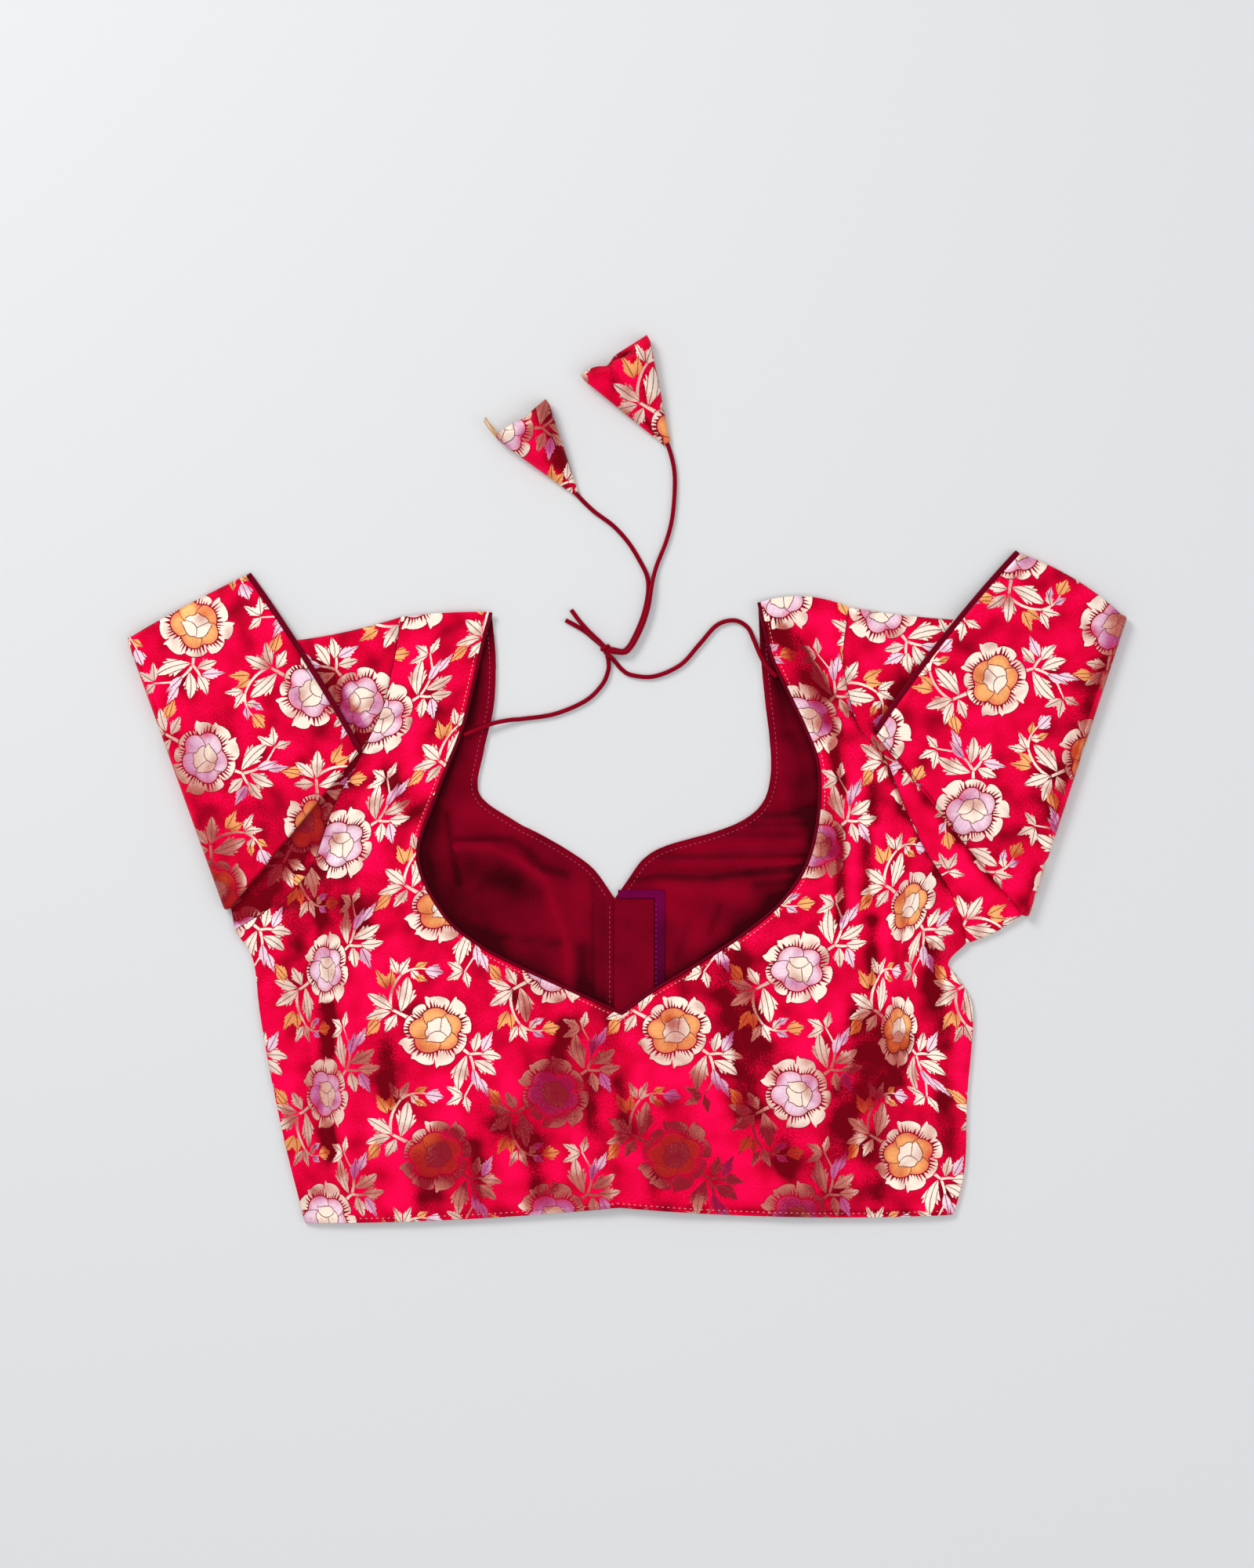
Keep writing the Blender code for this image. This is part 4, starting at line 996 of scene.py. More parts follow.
# %% Frayed thread at the left tassel's corner
FRAY = [
    [(-78.2, 272.6, 5.6), (-80.6, 275.6, 6.2), (-83, 279.4, 6.8), (-85.6, 284, 6.6)],
    [(-77.8, 273.4, 6), (-80, 276.6, 6.8), (-83.2, 280.4, 7.4), (-86.2, 283.4, 7.6)],
    [(-78.4, 272, 5.2), (-81.2, 274.8, 5.6), (-84.2, 278.4, 6), (-86.6, 282.2, 5.6)],
]
FRAY_STEPS, FRAY_SPAN, FRAY_RADIUS = 8, 0.8, 0.42
for number, points in enumerate(FRAY, 1):
    line = divided(through(points, FRAY_STEPS), FRAY_SPAN)
    strand = tube(f"tassel_fray_{number}", line, FRAY_RADIUS, frayed_gold)
print("frayed strands", len(FRAY))

# %% [markdown]
# Both short strands end bare, turned in and sewn, as the picture shows them.

# %% Points in metres
def at(point):
    return tuple(float(c) * MM for c in point)


# %% [markdown]
# ## The body
#
# The body is cut as a back and two fronts and sewn at the sides and shoulders. Laid flat, it
# is a back over a lining over a front. Each is a grid of rows from the hem to the shoulder,
# between two edges that are given point by point, and gets its thickness from Solidify.

# %% Rows of each half of the body
LEFT_ROWS = [
    # outer x, outer y, back x, back y, front x, front y, bow
    (-195.5, -204, -5, -194.5, -7.5, -194.5, 2.5),
    (-207, -158.5, -4, -158.5, -7.5, -147, 1),
    (-216, -116, -3.5, -128, -7.5, -99.5, 0),
    (-223, -75.5, -3, -101.5, -7.5, -52, 0),
    (-227, -44.5, -3, -78, -7.5, -7, 0),
    (-238, -26.5, -37, -62.5, -20, 10.5, 0),
    (-218.5, -14.5, -63.5, -50.5, -35.5, 22, 0),
    (-202, -2, -90, -36.5, -52, 31.5, 0),
    (-190, 14.5, -112.5, -17, -69, 40.5, 0),
    (-178, 48, -128, 18, -89.5, 56.5, 0),
    (-160, 82.5, -116.5, 56.5, -87, 81, 0),
    (-147.5, 109.5, -102, 93, -81, 107.5, 0),
    (-143.5, 126.5, -94.5, 121.5, -79.5, 131, 0),
    (-139.5, 145.5, -89, 145.5, -80, 145.5, 0),
    (-137, 163.5, -83.5, 166.5, -82, 165.5, -1),
]
RIGHT_ROWS = [
    (198.5, -199, -5, -194.5, -7.5, -194.5, 3.5),
    (205, -170.5, -4, -158.5, -7.5, -147, 2),
    (206.5, -128, -3.5, -128, -7.5, -99.5, 0),
    (210, -76.5, -3, -101.5, -7.5, -52, 0),
    (202.5, -57.5, -3, -78, -7.5, -7, 0),
    (195, -46.5, 15.5, -64.5, 0, 3.5, 0),
    (205.5, -34.5, 33, -54, 9.5, 16.5, 0),
    (202.5, -19.5, 51, -43, 21.5, 24, 0),
    (194, 0.5, 73.5, -28, 38, 29, 0),
    (180.5, 23, 94.5, -10, 54, 33.5, 0),
    (171, 42, 110, 13.5, 71.5, 41, 0),
    (163, 62, 117, 43, 82.5, 51.5, 0),
    (155.5, 79.5, 117, 74, 87, 67.5, 0),
    (141, 95.5, 109, 96.5, 86.5, 88.5, 0),
    (134, 118, 99, 117.5, 84, 109.5, 0),
    (131, 140.5, 88, 142, 81, 140, 0),
    (134.5, 169.5, 81, 172.5, 79.5, 171, -5),
]
ROWS = {"left": LEFT_ROWS, "right": RIGHT_ROWS}
V_ROW = 4
UNDERARM_ROW = {"left": 5, "right": 6}
FINE_STEPS = 10


def edge_curve(side, column, steps=FINE_STEPS):
    """One of a body half's edges: 'outer', 'back' or 'front', from hem to shoulder."""
    first = {"outer": 0, "back": 2, "front": 4}[column]
    corners = (UNDERARM_ROW[side],) if column == "outer" else (V_ROW,)
    return np.array(through([row[first:first + 2] for row in ROWS[side]], steps, corners))


print("rows of the body", {side: len(rows) for side, rows in ROWS.items()})

# %% [markdown]
# ### Folds, and painted light and shade
#
# Worn cloth never lies quite flat. The darts push up soft ridges, the armpits pull creases,
# and small dents lie between. All are strokes in a table: a line with a half width and a
# height. The same kind of stroke, with a shade in place of a height, sets where shade and
# highlight are painted onto the silk.

# %% Folds of the back, and its painted light and shade
BACK_FOLDS = [
    ("left dart", -188, -28, -187, -172, 10, 2.6),
    ("left dart, inner", -166, -40, -162, -150, 12, 1.4),
    ("right dart", 160, -6, 161, -98, 8, 3),
    ("right side", 176, -60, 192, -110, 10, 2.4),
    ("right armpit", 176, 12, 190, -38, 9, 4),
    ("right drape", 128, 30, 131, -50, 8, 2.4),
    ("right shoulder", 106, 136, 126, 104, 7, 2.2),
    ("left armpit", -136, 62, -158, 46, 8, 2.4),
    ("left underarm", -176, 8, -206, -28, 10, 2.6),
    ("hem, left", -140, -150, -128, -188, 14, 1.6),
    ("hem, middle", -40, -120, -48, -180, 16, 1.4),
    ("hem, right", 96, -140, 104, -186, 15, 1.8),
    ("lower right", 150, -128, 158, -180, 12, 1.6),
]
SMALL_FOLDS = [
    # shallow creases and dents between the folds
    (-150, -20, -142, -80, 5, 0.6), (-120, -60, -112, -120, 7, -0.6),
    (-176, -60, -172, -150, 4, -0.8), (-205, -60, -202, -150, 5, 0.5),
    (-90, -110, -80, -185, 7, 0.6), (-60, -70, -66, -120, 8, -0.5), (20, -100, 30, -180, 8, 0.6),
    (66, -80, 60, -150, 9, -0.6), (84, -50, 92, -110, 7, 0.6), (112, -40, 118, -120, 6, -0.7),
    (134, -60, 140, -130, 5, 0.7), (147, -10, 146, -90, 4, -0.9), (170, -20, 174, -60, 4, -0.8),
    (183, -110, 190, -170, 6, 0.6), (150, 10, 140, 34, 4, -0.7), (118, 96, 134, 82, 4, 0.7),
    (112, 128, 122, 116, 3.5, -0.8), (104, 152, 124, 140, 4, 0.6), (-150, 78, -126, 62, 4, -0.7),
    (-142, 30, -160, 20, 5, 0.6), (-186, -6, -160, -16, 4, -0.8), (-120, 110, -138, 98, 4, 0.5),
    (-104, 140, -126, 132, 4, 0.4), (-20, -140, -16, -190, 6, 0.5),
]
BACK_LIGHT_AND_SHADE = [
    # x0, y0, x1, y1, half width, shade: below 0 painted shade, above 0 painted highlight
    # beside and under the left dart
    (-182, -74, -181, -100, 5, -1.6), (-181, -146, -180, -160, 5, -1.4),
    (-170, -70, -172, -150, 5, 0.7), (-196, 0, -158, -22, 15, -0.9),
    (-206, -20, -190, -50, 9, -0.5), (-214, -80, -204, -150, 8, 0.6),
    (-160, -50, -156, -74, 9, 0.8), (-150, -20, -136, -44, 9, 0.7),
    (-146, -96, -144, -130, 6, -1.2), (-152, -134, -150, -160, 7, 1),
    (-135, -150, -136, -182, 7, 0.9), (-122, -172, -124, -196, 7, -1.1),
    (-112, -122, -106, -140, 10, 1), (-150, -188, -120, -200, 5, 0.8),
    # the middle
    (-66, -66, -60, -78, 6, -0.8), (-78, -112, -70, -124, 9, 0.9), (-34, -84, -46, -112, 8, -1),
    (-78, -144, -52, -158, 9, -1.2), (-58, -160, -54, -186, 5, -1),
    (-72, -160, -68, -192, 6, 0.9), (-94, -156, -90, -190, 5, -0.8),
    (-42, -150, -44, -172, 6, 0.8), (-24, -116, -20, -150, 5, -0.8),
    (-30, -152, -26, -178, 5, 0.7), (-10, -82, -14, -110, 6, -0.6), (-4, -118, -2, -152, 5, -0.8),
    (6, -110, 8, -130, 5, 0.7), (4, -160, 8, -186, 6, 0.7), (20, -112, 44, -116, 10, 1),
    (52, -128, 52, -156, 8, 1), (66, -164, 74, -190, 10, 0.8), (16, -176, 12, -190, 6, -0.6),
    (64, -54, 70, -84, 15, -1.3), (72, -84, 72, -136, 8, -1.3), (84, -100, 86, -108, 6, -0.6),
    (94, -152, 96, -172, 8, -0.9), (110, -62, 110, -106, 8, 1), (90, -70, 88, -86, 6, 0.6),
    (112, -172, 120, -186, 7, -0.6), (92, -176, 90, -192, 6, 0.7),
    # the right dart and side
    (146, -84, 146, -122, 11, -1.8), (132, -126, 130, -158, 8, -1.7),
    (166, -96, 160, -112, 10, -1.6), (150, -150, 152, -186, 8, -0.9),
    (128, -60, 128, -76, 6, 0.7), (156, -16, 156, -66, 3.5, 1), (149, -20, 148, -60, 3.5, -1),
    (136, 34, 138, -40, 4, 0.9), (129, 34, 129, -20, 3.5, -1.4), (122, 30, 121, -30, 4, 0.8),
    (145, 30, 146, -8, 4, -0.9), (152, 34, 154, 6, 4, 0.8), (184, -36, 188, -62, 5, -1.2),
    (194, -50, 200, -66, 4, 0.6), (186, -60, 194, -96, 6, -0.8), (176, -104, 180, -124, 7, 0.8),
    (202, -96, 202, -132, 5, 0.8), (190, -118, 192, -146, 7, -0.6),
    (178, -176, 182, -192, 6, 0.7), (196, -150, 192, -190, 6, -0.5),
    # the straps
    (-160, 124, -122, 146, 12, 0.4), (-118, 122, -112, 96, 7, -0.6), (-134, 96, -124, 60, 6, 0.7),
    (-144, 66, -130, 44, 7, -0.9), (-128, 36, -134, 6, 5, 0.7), (-150, 34, -160, 14, 6, 0.6),
    (92, 140, 104, 118, 5, 0.8), (100, 148, 128, 92, 7, -1), (118, 120, 134, 100, 6, 0.8),
    (112, 92, 122, 60, 5, 0.8), (124, 84, 132, 56, 4, -1.1), (140, 70, 136, 44, 5, 0.8),
    (148, 62, 150, 40, 4, -0.9), (122, 50, 124, 36, 5, -0.6), (100, 164, 124, 158, 7, 0.5),
    # painted shade and highlight along the crease across the right strap
    (93, 160, 121, 118, 4.5, -1.1), (121, 118, 147, 97, 4, -1.1), (86, 150, 104, 110, 8, -0.4),
    (134, 132, 120, 150, 9, 0.5),
    # painted shade beside the sleeves, and darker along the rim of the hem
    (-166, 72, -186, 34, 7, -0.8), (-176, 28, -206, -12, 6, -0.6), (-168, 120, -156, 96, 6, -0.8),
    (152, 88, 170, 50, 4.5, -1.2), (170, 50, 196, 0, 5, -1.3), (138, 106, 148, 96, 5, -0.9),
    (-195, -204, -5, -194.5, 2.2, -0.7), (-5, -194.5, 198, -199, 2.2, -0.7),
]
BACK_WEFT_SHADES = [
    # painted shade on the golden weft, where it doesn't catch the light
    (-47, -126, -43, -130, 20.5, 1.14), (-82, -138, -62, -146, 10.8, 0.95),
    (-20, -96, -2, -108, 13, 0.47), (-126, -168, -104, -166, 15.1, 1.14),
    (-110, -150, -100, -152, 8.6, 0.57), (-100, -178, -90, -196, 13, 0.57),
    (-44, -186, -24, -190, 13, 0.47), (-160, -104, -150, -120, 14, 0.57),
    (-186, -118, -182, -136, 15.1, 0.28), (-164, -176, -148, -190, 13, 0.47),
    (26, -156, 32, -172, 19.4, 1.04), (-6, -142, 8, -156, 11.9, 0.66),
    (58, -166, 66, -186, 14, 0.85), (100, -192, 116, -194, 14, 0.95),
    (74, -140, 86, -160, 13, 0.76), (38, -118, 52, -128, 9.7, 0.66),
    (30, -86, 30, -92, 7.6, 0.38), (126, -112, 138, -118, 10.8, 0.33),
    (98, -160, 112, -168, 8.6, 0.76), (124, -162, 134, -190, 10.8, 0.43),
    (124, 22, 118, 14, 9.7, 0.47), (-50, -174, -60, -178, 8.6, 0.38),
    (150, -118, 150, -142, 8.6, 0.33), (-140, -120, -128, -124, 8.6, 0.33),
    # half-lit all over the lower middle and down the sides
    (-30, -112, 60, -146, 26, 0.28), (-70, -176, 70, -186, 20, 0.3),
    (114, -100, 150, -150, 18, 0.25), (-200, -60, -196, -180, 14, 0.25),
    (-158, -4, -186, -18, 12, 0.35), (122, 60, 124, 6, 9, 0.3), (-66, -60, -40, -72, 12, 0.2),
    (100, 150, 118, 124, 9, 0.3), (28, -132, 20, -136, 6.5, 0.57),
    (100, 138, 124, 104, 9.7, 0.38),
]
print("strokes", len(BACK_FOLDS) + len(SMALL_FOLDS), "folds and", len(BACK_LIGHT_AND_SHADE), "lights_and_shades")

# %% Grids with thickness
def grid_faces(row_count, column_count, first=0):
    """Faces of a grid whose points run row by row."""
    faces = []
    for r in range(row_count - 1):
        for k in range(column_count - 1):
            low, high = first + r * column_count + k, first + (r + 1) * column_count + k
            faces.append((low, low + 1, high + 1, high))
    return faces


RIM_ROUND, RIM_ANGLE = 0.42, 50


def thicken(piece, wall):
    """Gives a sheet its wall, below its surface, and rounds its rim."""
    bpy.ops.object.select_all(action="DESELECT")
    bpy.context.view_layer.objects.active = piece
    piece.select_set(True)
    shell = piece.modifiers.new("wall", "SOLIDIFY")
    shell.thickness, shell.offset, shell.use_even_offset = wall * MM, -1.0, True
    bpy.ops.object.modifier_apply(modifier=shell.name)
    rim = piece.modifiers.new("rim", "BEVEL")
    rim.width, rim.segments, rim.limit_method = RIM_ROUND * MM, 2, "ANGLE"
    rim.angle_limit = math.radians(RIM_ANGLE)
    rim.offset_type = "OFFSET"
    bpy.ops.object.modifier_apply(modifier=rim.name)
    piece.data.shade_smooth()


def shell_area(piece):
    """Half the surface of a closed shell in square metres: about the area of its cloth."""
    piece.data.calc_loop_triangles()
    return sum(face.area for face in piece.data.polygons) / 2


# %% [markdown]
# ### The back
#
# The back comes last in the sewing and lies on top. Its level follows what is under it: the
# placket lifts it along the middle, it comes down to the front at the side seams, and it is
# low at the armholes, where the sleeves are set in.

# %% Level of the back
BROCADE_WALL, FRONT_WALL, LINING_WALL, STRIP_WALL, SEAM_GAP = 1.2, 1.0, 1.0, 1.0, 0.3
LINING_FLOOR = FRONT_WALL + SEAM_GAP
STRIP_FLOOR = LINING_FLOOR + LINING_WALL + SEAM_GAP
BACK_AT_ARMHOLE, BACK_AT_NECK, BACK_OVER_PLACKET = STRIP_FLOOR, 3.2, 4.4
BACK_AT_SIDE = FRONT_WALL + SEAM_GAP
RISE_WIDTH, TURN_WIDTH = 26.0, 6.0
PLACKET_CENTRE, PLACKET_HALF, PLACKET_FADE = 7.5, 19.0, 40.0
BELOW_THE_NECK = 100.0
# how far past its ends a fold or a dent runs out, and how far from the outer and the inner
# edge folds begin and are whole
FOLD_END, DENT_END = 12.0, 8.0
OUTER_START, OUTER_FADE, INNER_START, INNER_FADE = 2.0, 14.0, 1.0, 10.0


def back_under(side, x, y, from_outer, from_inner, row):
    """Level of the back's underside at arrays of points, with row in table rows."""
    placket = ease((PLACKET_FADE + PLACKET_HALF - np.abs(x - PLACKET_CENTRE)) / PLACKET_FADE)
    inner = BACK_AT_NECK + (BACK_OVER_PLACKET - BACK_AT_NECK) * placket
    level = BACK_AT_ARMHOLE + (inner - BACK_AT_ARMHOLE) * ease(from_outer / RISE_WIDTH)
    below_underarm = ease(UNDERARM_ROW[side] - row)
    at_seam = 1.0 - ease(from_outer / TURN_WIDTH)
    level = level - (BACK_AT_ARMHOLE - BACK_AT_SIDE) * at_seam * below_underarm
    fade = ease((from_outer - OUTER_START) / OUTER_FADE)
    fade = fade * ease((from_inner - INNER_START) / INNER_FADE)
    folds = strokes(x, y, BACK_FOLDS, FOLD_END, np.maximum)
    folds = folds + strokes(x, y, SMALL_FOLDS, DENT_END)
    return level + folds * fade


BACK_COLUMNS = 70
COLUMN_DRIFT = 0.06


def back_grid(side):
    """Points on the top of the back, as arrays of rows by columns."""
    outer, inner = edge_curve(side, "outer"), edge_curve(side, "back")
    bow = np.array(through([(row[6],) for row in ROWS[side]], FINE_STEPS))
    u = np.linspace(0.0, 1.0, BACK_COLUMNS + 1)
    u = u + COLUMN_DRIFT * np.sin(2 * math.pi * u) / (2 * math.pi)
    width = np.linalg.norm(outer - inner, axis=1)[:, None]
    x = inner[:, :1] + (outer[:, :1] - inner[:, :1]) * u
    y = inner[:, 1:] + (outer[:, 1:] - inner[:, 1:]) * u - bow * 4.0 * u * (1.0 - u)
    row = (np.arange(len(outer)) / FINE_STEPS)[:, None] * np.ones_like(u)
    from_inner = np.where(row > V_ROW, u * width, BELOW_THE_NECK)
    z = back_under(side, x, y, (1.0 - u) * width, from_inner, row) + BROCADE_WALL
    return x, y, z


back_grids = {side: back_grid(side) for side in ROWS}
print("back grids", {side: grid[0].shape for side, grid in back_grids.items()})

# %% [markdown]
# The columns of roses follow the weave, but the tailor's darts bend them: they fan out over
# the back and lean with the straps. The cloth coordinates repeat that, so that each rose
# lies where it should.

# %% Cloth coordinates of the back
ROSE_ROW_LEVEL = 87.4
COLUMNS = {
    # side: places across the back, the weave there, and the same where a dart takes cloth in
    "left": (
        ([-182.9, -115.4, -45.0, 28.5], [-213.75, -142.5, -71.25, 0.0]),
        ([-196.0, -169.0, -115.4, -45.0, 28.5], [-235.5, -192.0, -142.5, -71.25, 0.0]),
    ),
    "right": (
        ([-45.0, 28.5, 103.5, 170.0], [-71.25, 0.0, 71.25, 142.5]),
        ([-45.0, 28.5, 103.5, 152.0, 176.0], [-71.25, 0.0, 71.25, 120.5, 164.5]),
    ),
}
DARTS = {
    # heights on the back, and how much of the dart there is
    "left": ([-200.0, -150.0, -30.0, 30.0], [0.3, 1.0, 1.0, 0.0]),
    "right": ([-142.0, -104.0, -40.0, 50.0], [0.0, 1.0, 1.0, 0.0]),
}
LEANS = {
    # heights, and how far the columns have moved aside there
    "left": ([-50.0, 27.0, 101.0, 160.0], [0.0, 8.6, 33.0, 54.0]),
    "right": ([-50.0, 24.0, 107.0, 164.0], [0.0, 12.0, 6.0, -11.0]),
}


def across_weave(x, places, values):
    """Interpolates, and runs on at the same rate past both ends."""
    past = np.minimum(x - places[0], 0.0) + np.maximum(x - places[-1], 0.0)
    return np.interp(x, places, values) + past


def back_cloth(side, x, y):
    """Where a point of the back is in the woven cloth."""
    straight = x - np.interp(y, *LEANS[side])
    plain, darted = (across_weave(straight, *table) for table in COLUMNS[side])
    dart = ease(np.interp(y, *DARTS[side]))
    return plain + (darted - plain) * dart, y + ROSE_ROW_LEVEL


# the weft gets painted shade where the ground's painted shade is deeper than this
DARK_GROUND = 0.5


def silk_light_and_shade(x, y):
    """Painted light and shade on the ground and painted shade on the weft, which deepens with the
    ground's.
    """
    light_and_shade = np.clip(strokes(x, y, BACK_LIGHT_AND_SHADE), -LIGHT_AND_SHADE_LIMIT, LIGHT_AND_SHADE_LIMIT)
    in_the_dark = np.clip(-light_and_shade - DARK_GROUND, 0, 0.5)
    return light_and_shade, np.clip(strokes(x, y, BACK_WEFT_SHADES) + in_the_dark, 0, 1)


# %% Back
points, faces, flat, light_and_shade, weft_shade = [], [], [], [], []
for side, (x, y, z) in back_grids.items():
    rows, columns = x.shape
    new_faces = grid_faces(rows, columns, len(points))
    faces += new_faces if side == "right" else [face[::-1] for face in new_faces]
    points += list(zip(x.ravel(), y.ravel(), z.ravel()))
    u, v = back_cloth(side, x, y)
    flat += list(zip(u.ravel(), v.ravel()))
    for values, new in zip((light_and_shade, weft_shade), silk_light_and_shade(x, y)):
        values += list(new.ravel())
uvs = [flat[corner] for face in faces for corner in face]
back = cloth_piece("back_cloth", points, faces, brocade, uvs, light_and_shade, weft_shade)
turn_outwards(back)
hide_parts("back_panel")


def face_up(piece):
    """Turns an open sheet's faces up if most of them face down."""
    mesh = bmesh.new()
    mesh.from_mesh(piece.data)
    mesh.normal_update()
    if sum(face.normal.z * face.calc_area() for face in mesh.faces) < 0:
        bmesh.ops.reverse_faces(mesh, faces=mesh.faces)
    mesh.to_mesh(piece.data)
    mesh.free()


face_up(back)
thicken(back, BROCADE_WALL)
print("back", len(back.data.polygons), "faces,", round(shell_area(back), 4), "square metres")

# %% [markdown]
# ### Fronts and their lining
#
# The fronts lie face down under everything. Only their lining shows, in the deep neck: plain
# wine-red satin with a few creases where the fold of the neck pulls it, and painted shade and
# highlight along them. Their silk is hidden, so its painted light and shade are the back's,
# turned over.

# %% Fronts
LINING_FOLDS = [
    # x0, y0, x1, y1, half width and height
    (-108.5, 42, -103, 2, 3, 0.8), (-105, 24.5, -84, 24.5, 3.5, 0.8),
    (-84, 24.5, -66, 16, 3.5, 0.8), (-66, 16, -50, 5, 3.5, 0.8), (-50, 5, -44, -12, 4, 0.7),
    (-44, -12, -36, -34, 4, 0.5), (-36, -34, -35, -58, 4, 0.4), (-92, -26, -40, -33, 3, 0.3),
    (22, 10, 48, 8.5, 3, 0.7), (48, 8.5, 72, 12, 3, 0.8), (72, 12, 104, 15, 3, 0.8),
    (84, 46, 110, 47.5, 3, 0.7), (30, 21, 100, 25, 4, 0.4), (28, -14, 44, -30, 5, 0.5),
    (60, -12, 54, -28, 3, 0.4),
]
LINING_LIGHT_AND_SHADE = [
    # painted shade and highlight; the left front: the hollow inside its long fold, and the corner
    # below
    (-96, 12, -70, 8, 9, -0.6), (-84, 2, -56, -5, 8, -0.5), (-114, 6, -84, -34, 11, -0.6),
    (-76, -16, -56, -44, 13, -0.25), (-90, -20, -46, -26, 4, 0.15), (-27, -38, -26, -66, 5, -0.7),
    (-15, -10, -14, -70, 4, -0.3), (-30, 0, -30, -26, 6, 0.25), (-98, 46, -66, 36, 7, 0.3),
    (-116, 46, -122, 10, 6, -0.5),
    # the right front
    (30, 23, 106, 27, 3, 0.3), (22, -1, 70, -4, 6, 0.5), (28, -14, 44, -30, 9, 0.45),
    (106, -4, 58, -44, 9, -0.6), (86, -6, 66, -22, 8, -0.35), (104, 60, 112, 30, 6, -0.4),
    # both straps
    (-108, 92, -114, 60, 6, -0.7), (-92, 130, -95, 100, 4, -0.5), (-88, 100, -92, 66, 3, 0.35),
    (-82.5, 140, -83.5, 112, 2.5, 0.25), (90, 130, 96, 92, 4, -0.4), (90, 84, 94, 56, 4, 0.3),
    (84, 134, 85, 110, 2.4, 0.25), (100, 92, 108, 62, 4, -0.3),
]
LINING_CREASE_SHADES = [
    # narrow painted shade and highlight along the creases: where they meet, the stronger holds
    (-109, 44, -106.5, 24, 2, -0.55), (-106.5, 24, -102, 2, 2.2, -0.5),
    (-106, 29, -70, 29, 2.2, -0.45), (-70, 29, -60, 21, 3, -0.5), (-60, 21, -51, 11.5, 3.6, -0.6),
    (-51, 11.5, -37, 7.5, 3.2, -0.55), (-105, 24, -84, 24, 3, 0.45),
    (-84, 24, -66, 15, 3.2, 0.45), (-66, 15, -50, 4, 3.4, 0.5), (-50, 4, -44, -13, 3.6, 0.45),
    (-44, -13, -36, -35, 3.8, 0.45), (-36, -35, -35, -60, 3.6, 0.45),
    (-92, -28, -38, -35, 2.2, -0.35), (-20.5, 2, -20.5, -66, 1.6, -0.4),
    (84, 43, 114, 45, 3.2, -0.7), (76, 37.5, 112, 38.5, 2.4, -0.35), (62, 32, 104, 31, 2.2, -0.3),
    (20, 18, 108, 19, 2, -0.3), (30, 13.6, 104, 15, 2.4, 0.35), (2, 4, 20, 6.2, 2.2, -0.5),
    (20, 6.2, 48, 5, 2.6, -0.65), (48, 5, 72, 8, 2.8, -0.7), (72, 8, 108, 11, 2.8, -0.7),
    (78, 1, 106, 4, 2.6, -0.4), (56, -12, 50, -28, 2.4, -0.4), (38, -20, 30, -44, 2.2, -0.3),
]
NECK_SHADE, NECK_SHADE_REACH = -0.75, 7.0
LINING_INSET, LINING_HEM_INSET, LINING_FADE = 7.0, 1.0, 8.0
LINING_COLUMNS, FRONT_COLUMNS = 96, 44
# the roses on the fronts, which can't be seen, are set lower and get less painted weft shade
FRONT_WEAVE_SHIFT, FRONT_WEFT_SHADE = 20.0, 0.6


def front_grid(side, inset, columns, hem_inset=0.0):
    """Flat points of a front, from its centre edge to its side."""
    outer, inner = edge_curve(side, "outer"), edge_curve(side, "front")
    shift = -SEAM_GAP / 2 if side == "left" else SEAM_GAP / 2
    u = np.linspace(0.0, 1.0, columns + 1)
    width = np.linalg.norm(outer - inner, axis=1)[:, None]
    reach = 1.0 - inset / width
    x = inner[:, :1] + (outer[:, :1] - inner[:, :1]) * u * reach + shift
    y = inner[:, 1:] + (outer[:, 1:] - inner[:, 1:]) * u * reach
    ends = np.zeros((len(outer), 1))
    ends[0], ends[-1] = hem_inset, -hem_inset
    return x, y + ends, u * width


def sheet_piece(name, x, y, z, material, cloth=None, light_and_shade=None, weft_shade=None):
    """A sheet from arrays of points, facing up."""
    flat = cloth if cloth is not None else (x, y)
    faces = grid_faces(*x.shape)
    corners = np.array(faces).ravel()
    uvs = np.stack([flat[0].ravel()[corners], flat[1].ravel()[corners]], axis=1)
    points = list(zip(x.ravel(), y.ravel(), z.ravel()))
    piece = cloth_piece(name, points, faces, material, uvs, light_and_shade, weft_shade)
    face_up(piece)
    return piece


def stronger(first, second):
    return np.where(np.abs(first) > np.abs(second), first, second)


def off_the_neck(x, y):
    """Distance in mm from the back's neck edge, beside which shade is painted on the lining."""
    edge = np.concatenate([
        np.stack([grid[0][V_ROW * FINE_STEPS:, 0], grid[1][V_ROW * FINE_STEPS:, 0]], axis=1)
        for grid in back_grids.values()])
    return np.hypot(x[..., None] - edge[:, 0], y[..., None] - edge[:, 1]).min(axis=-1)


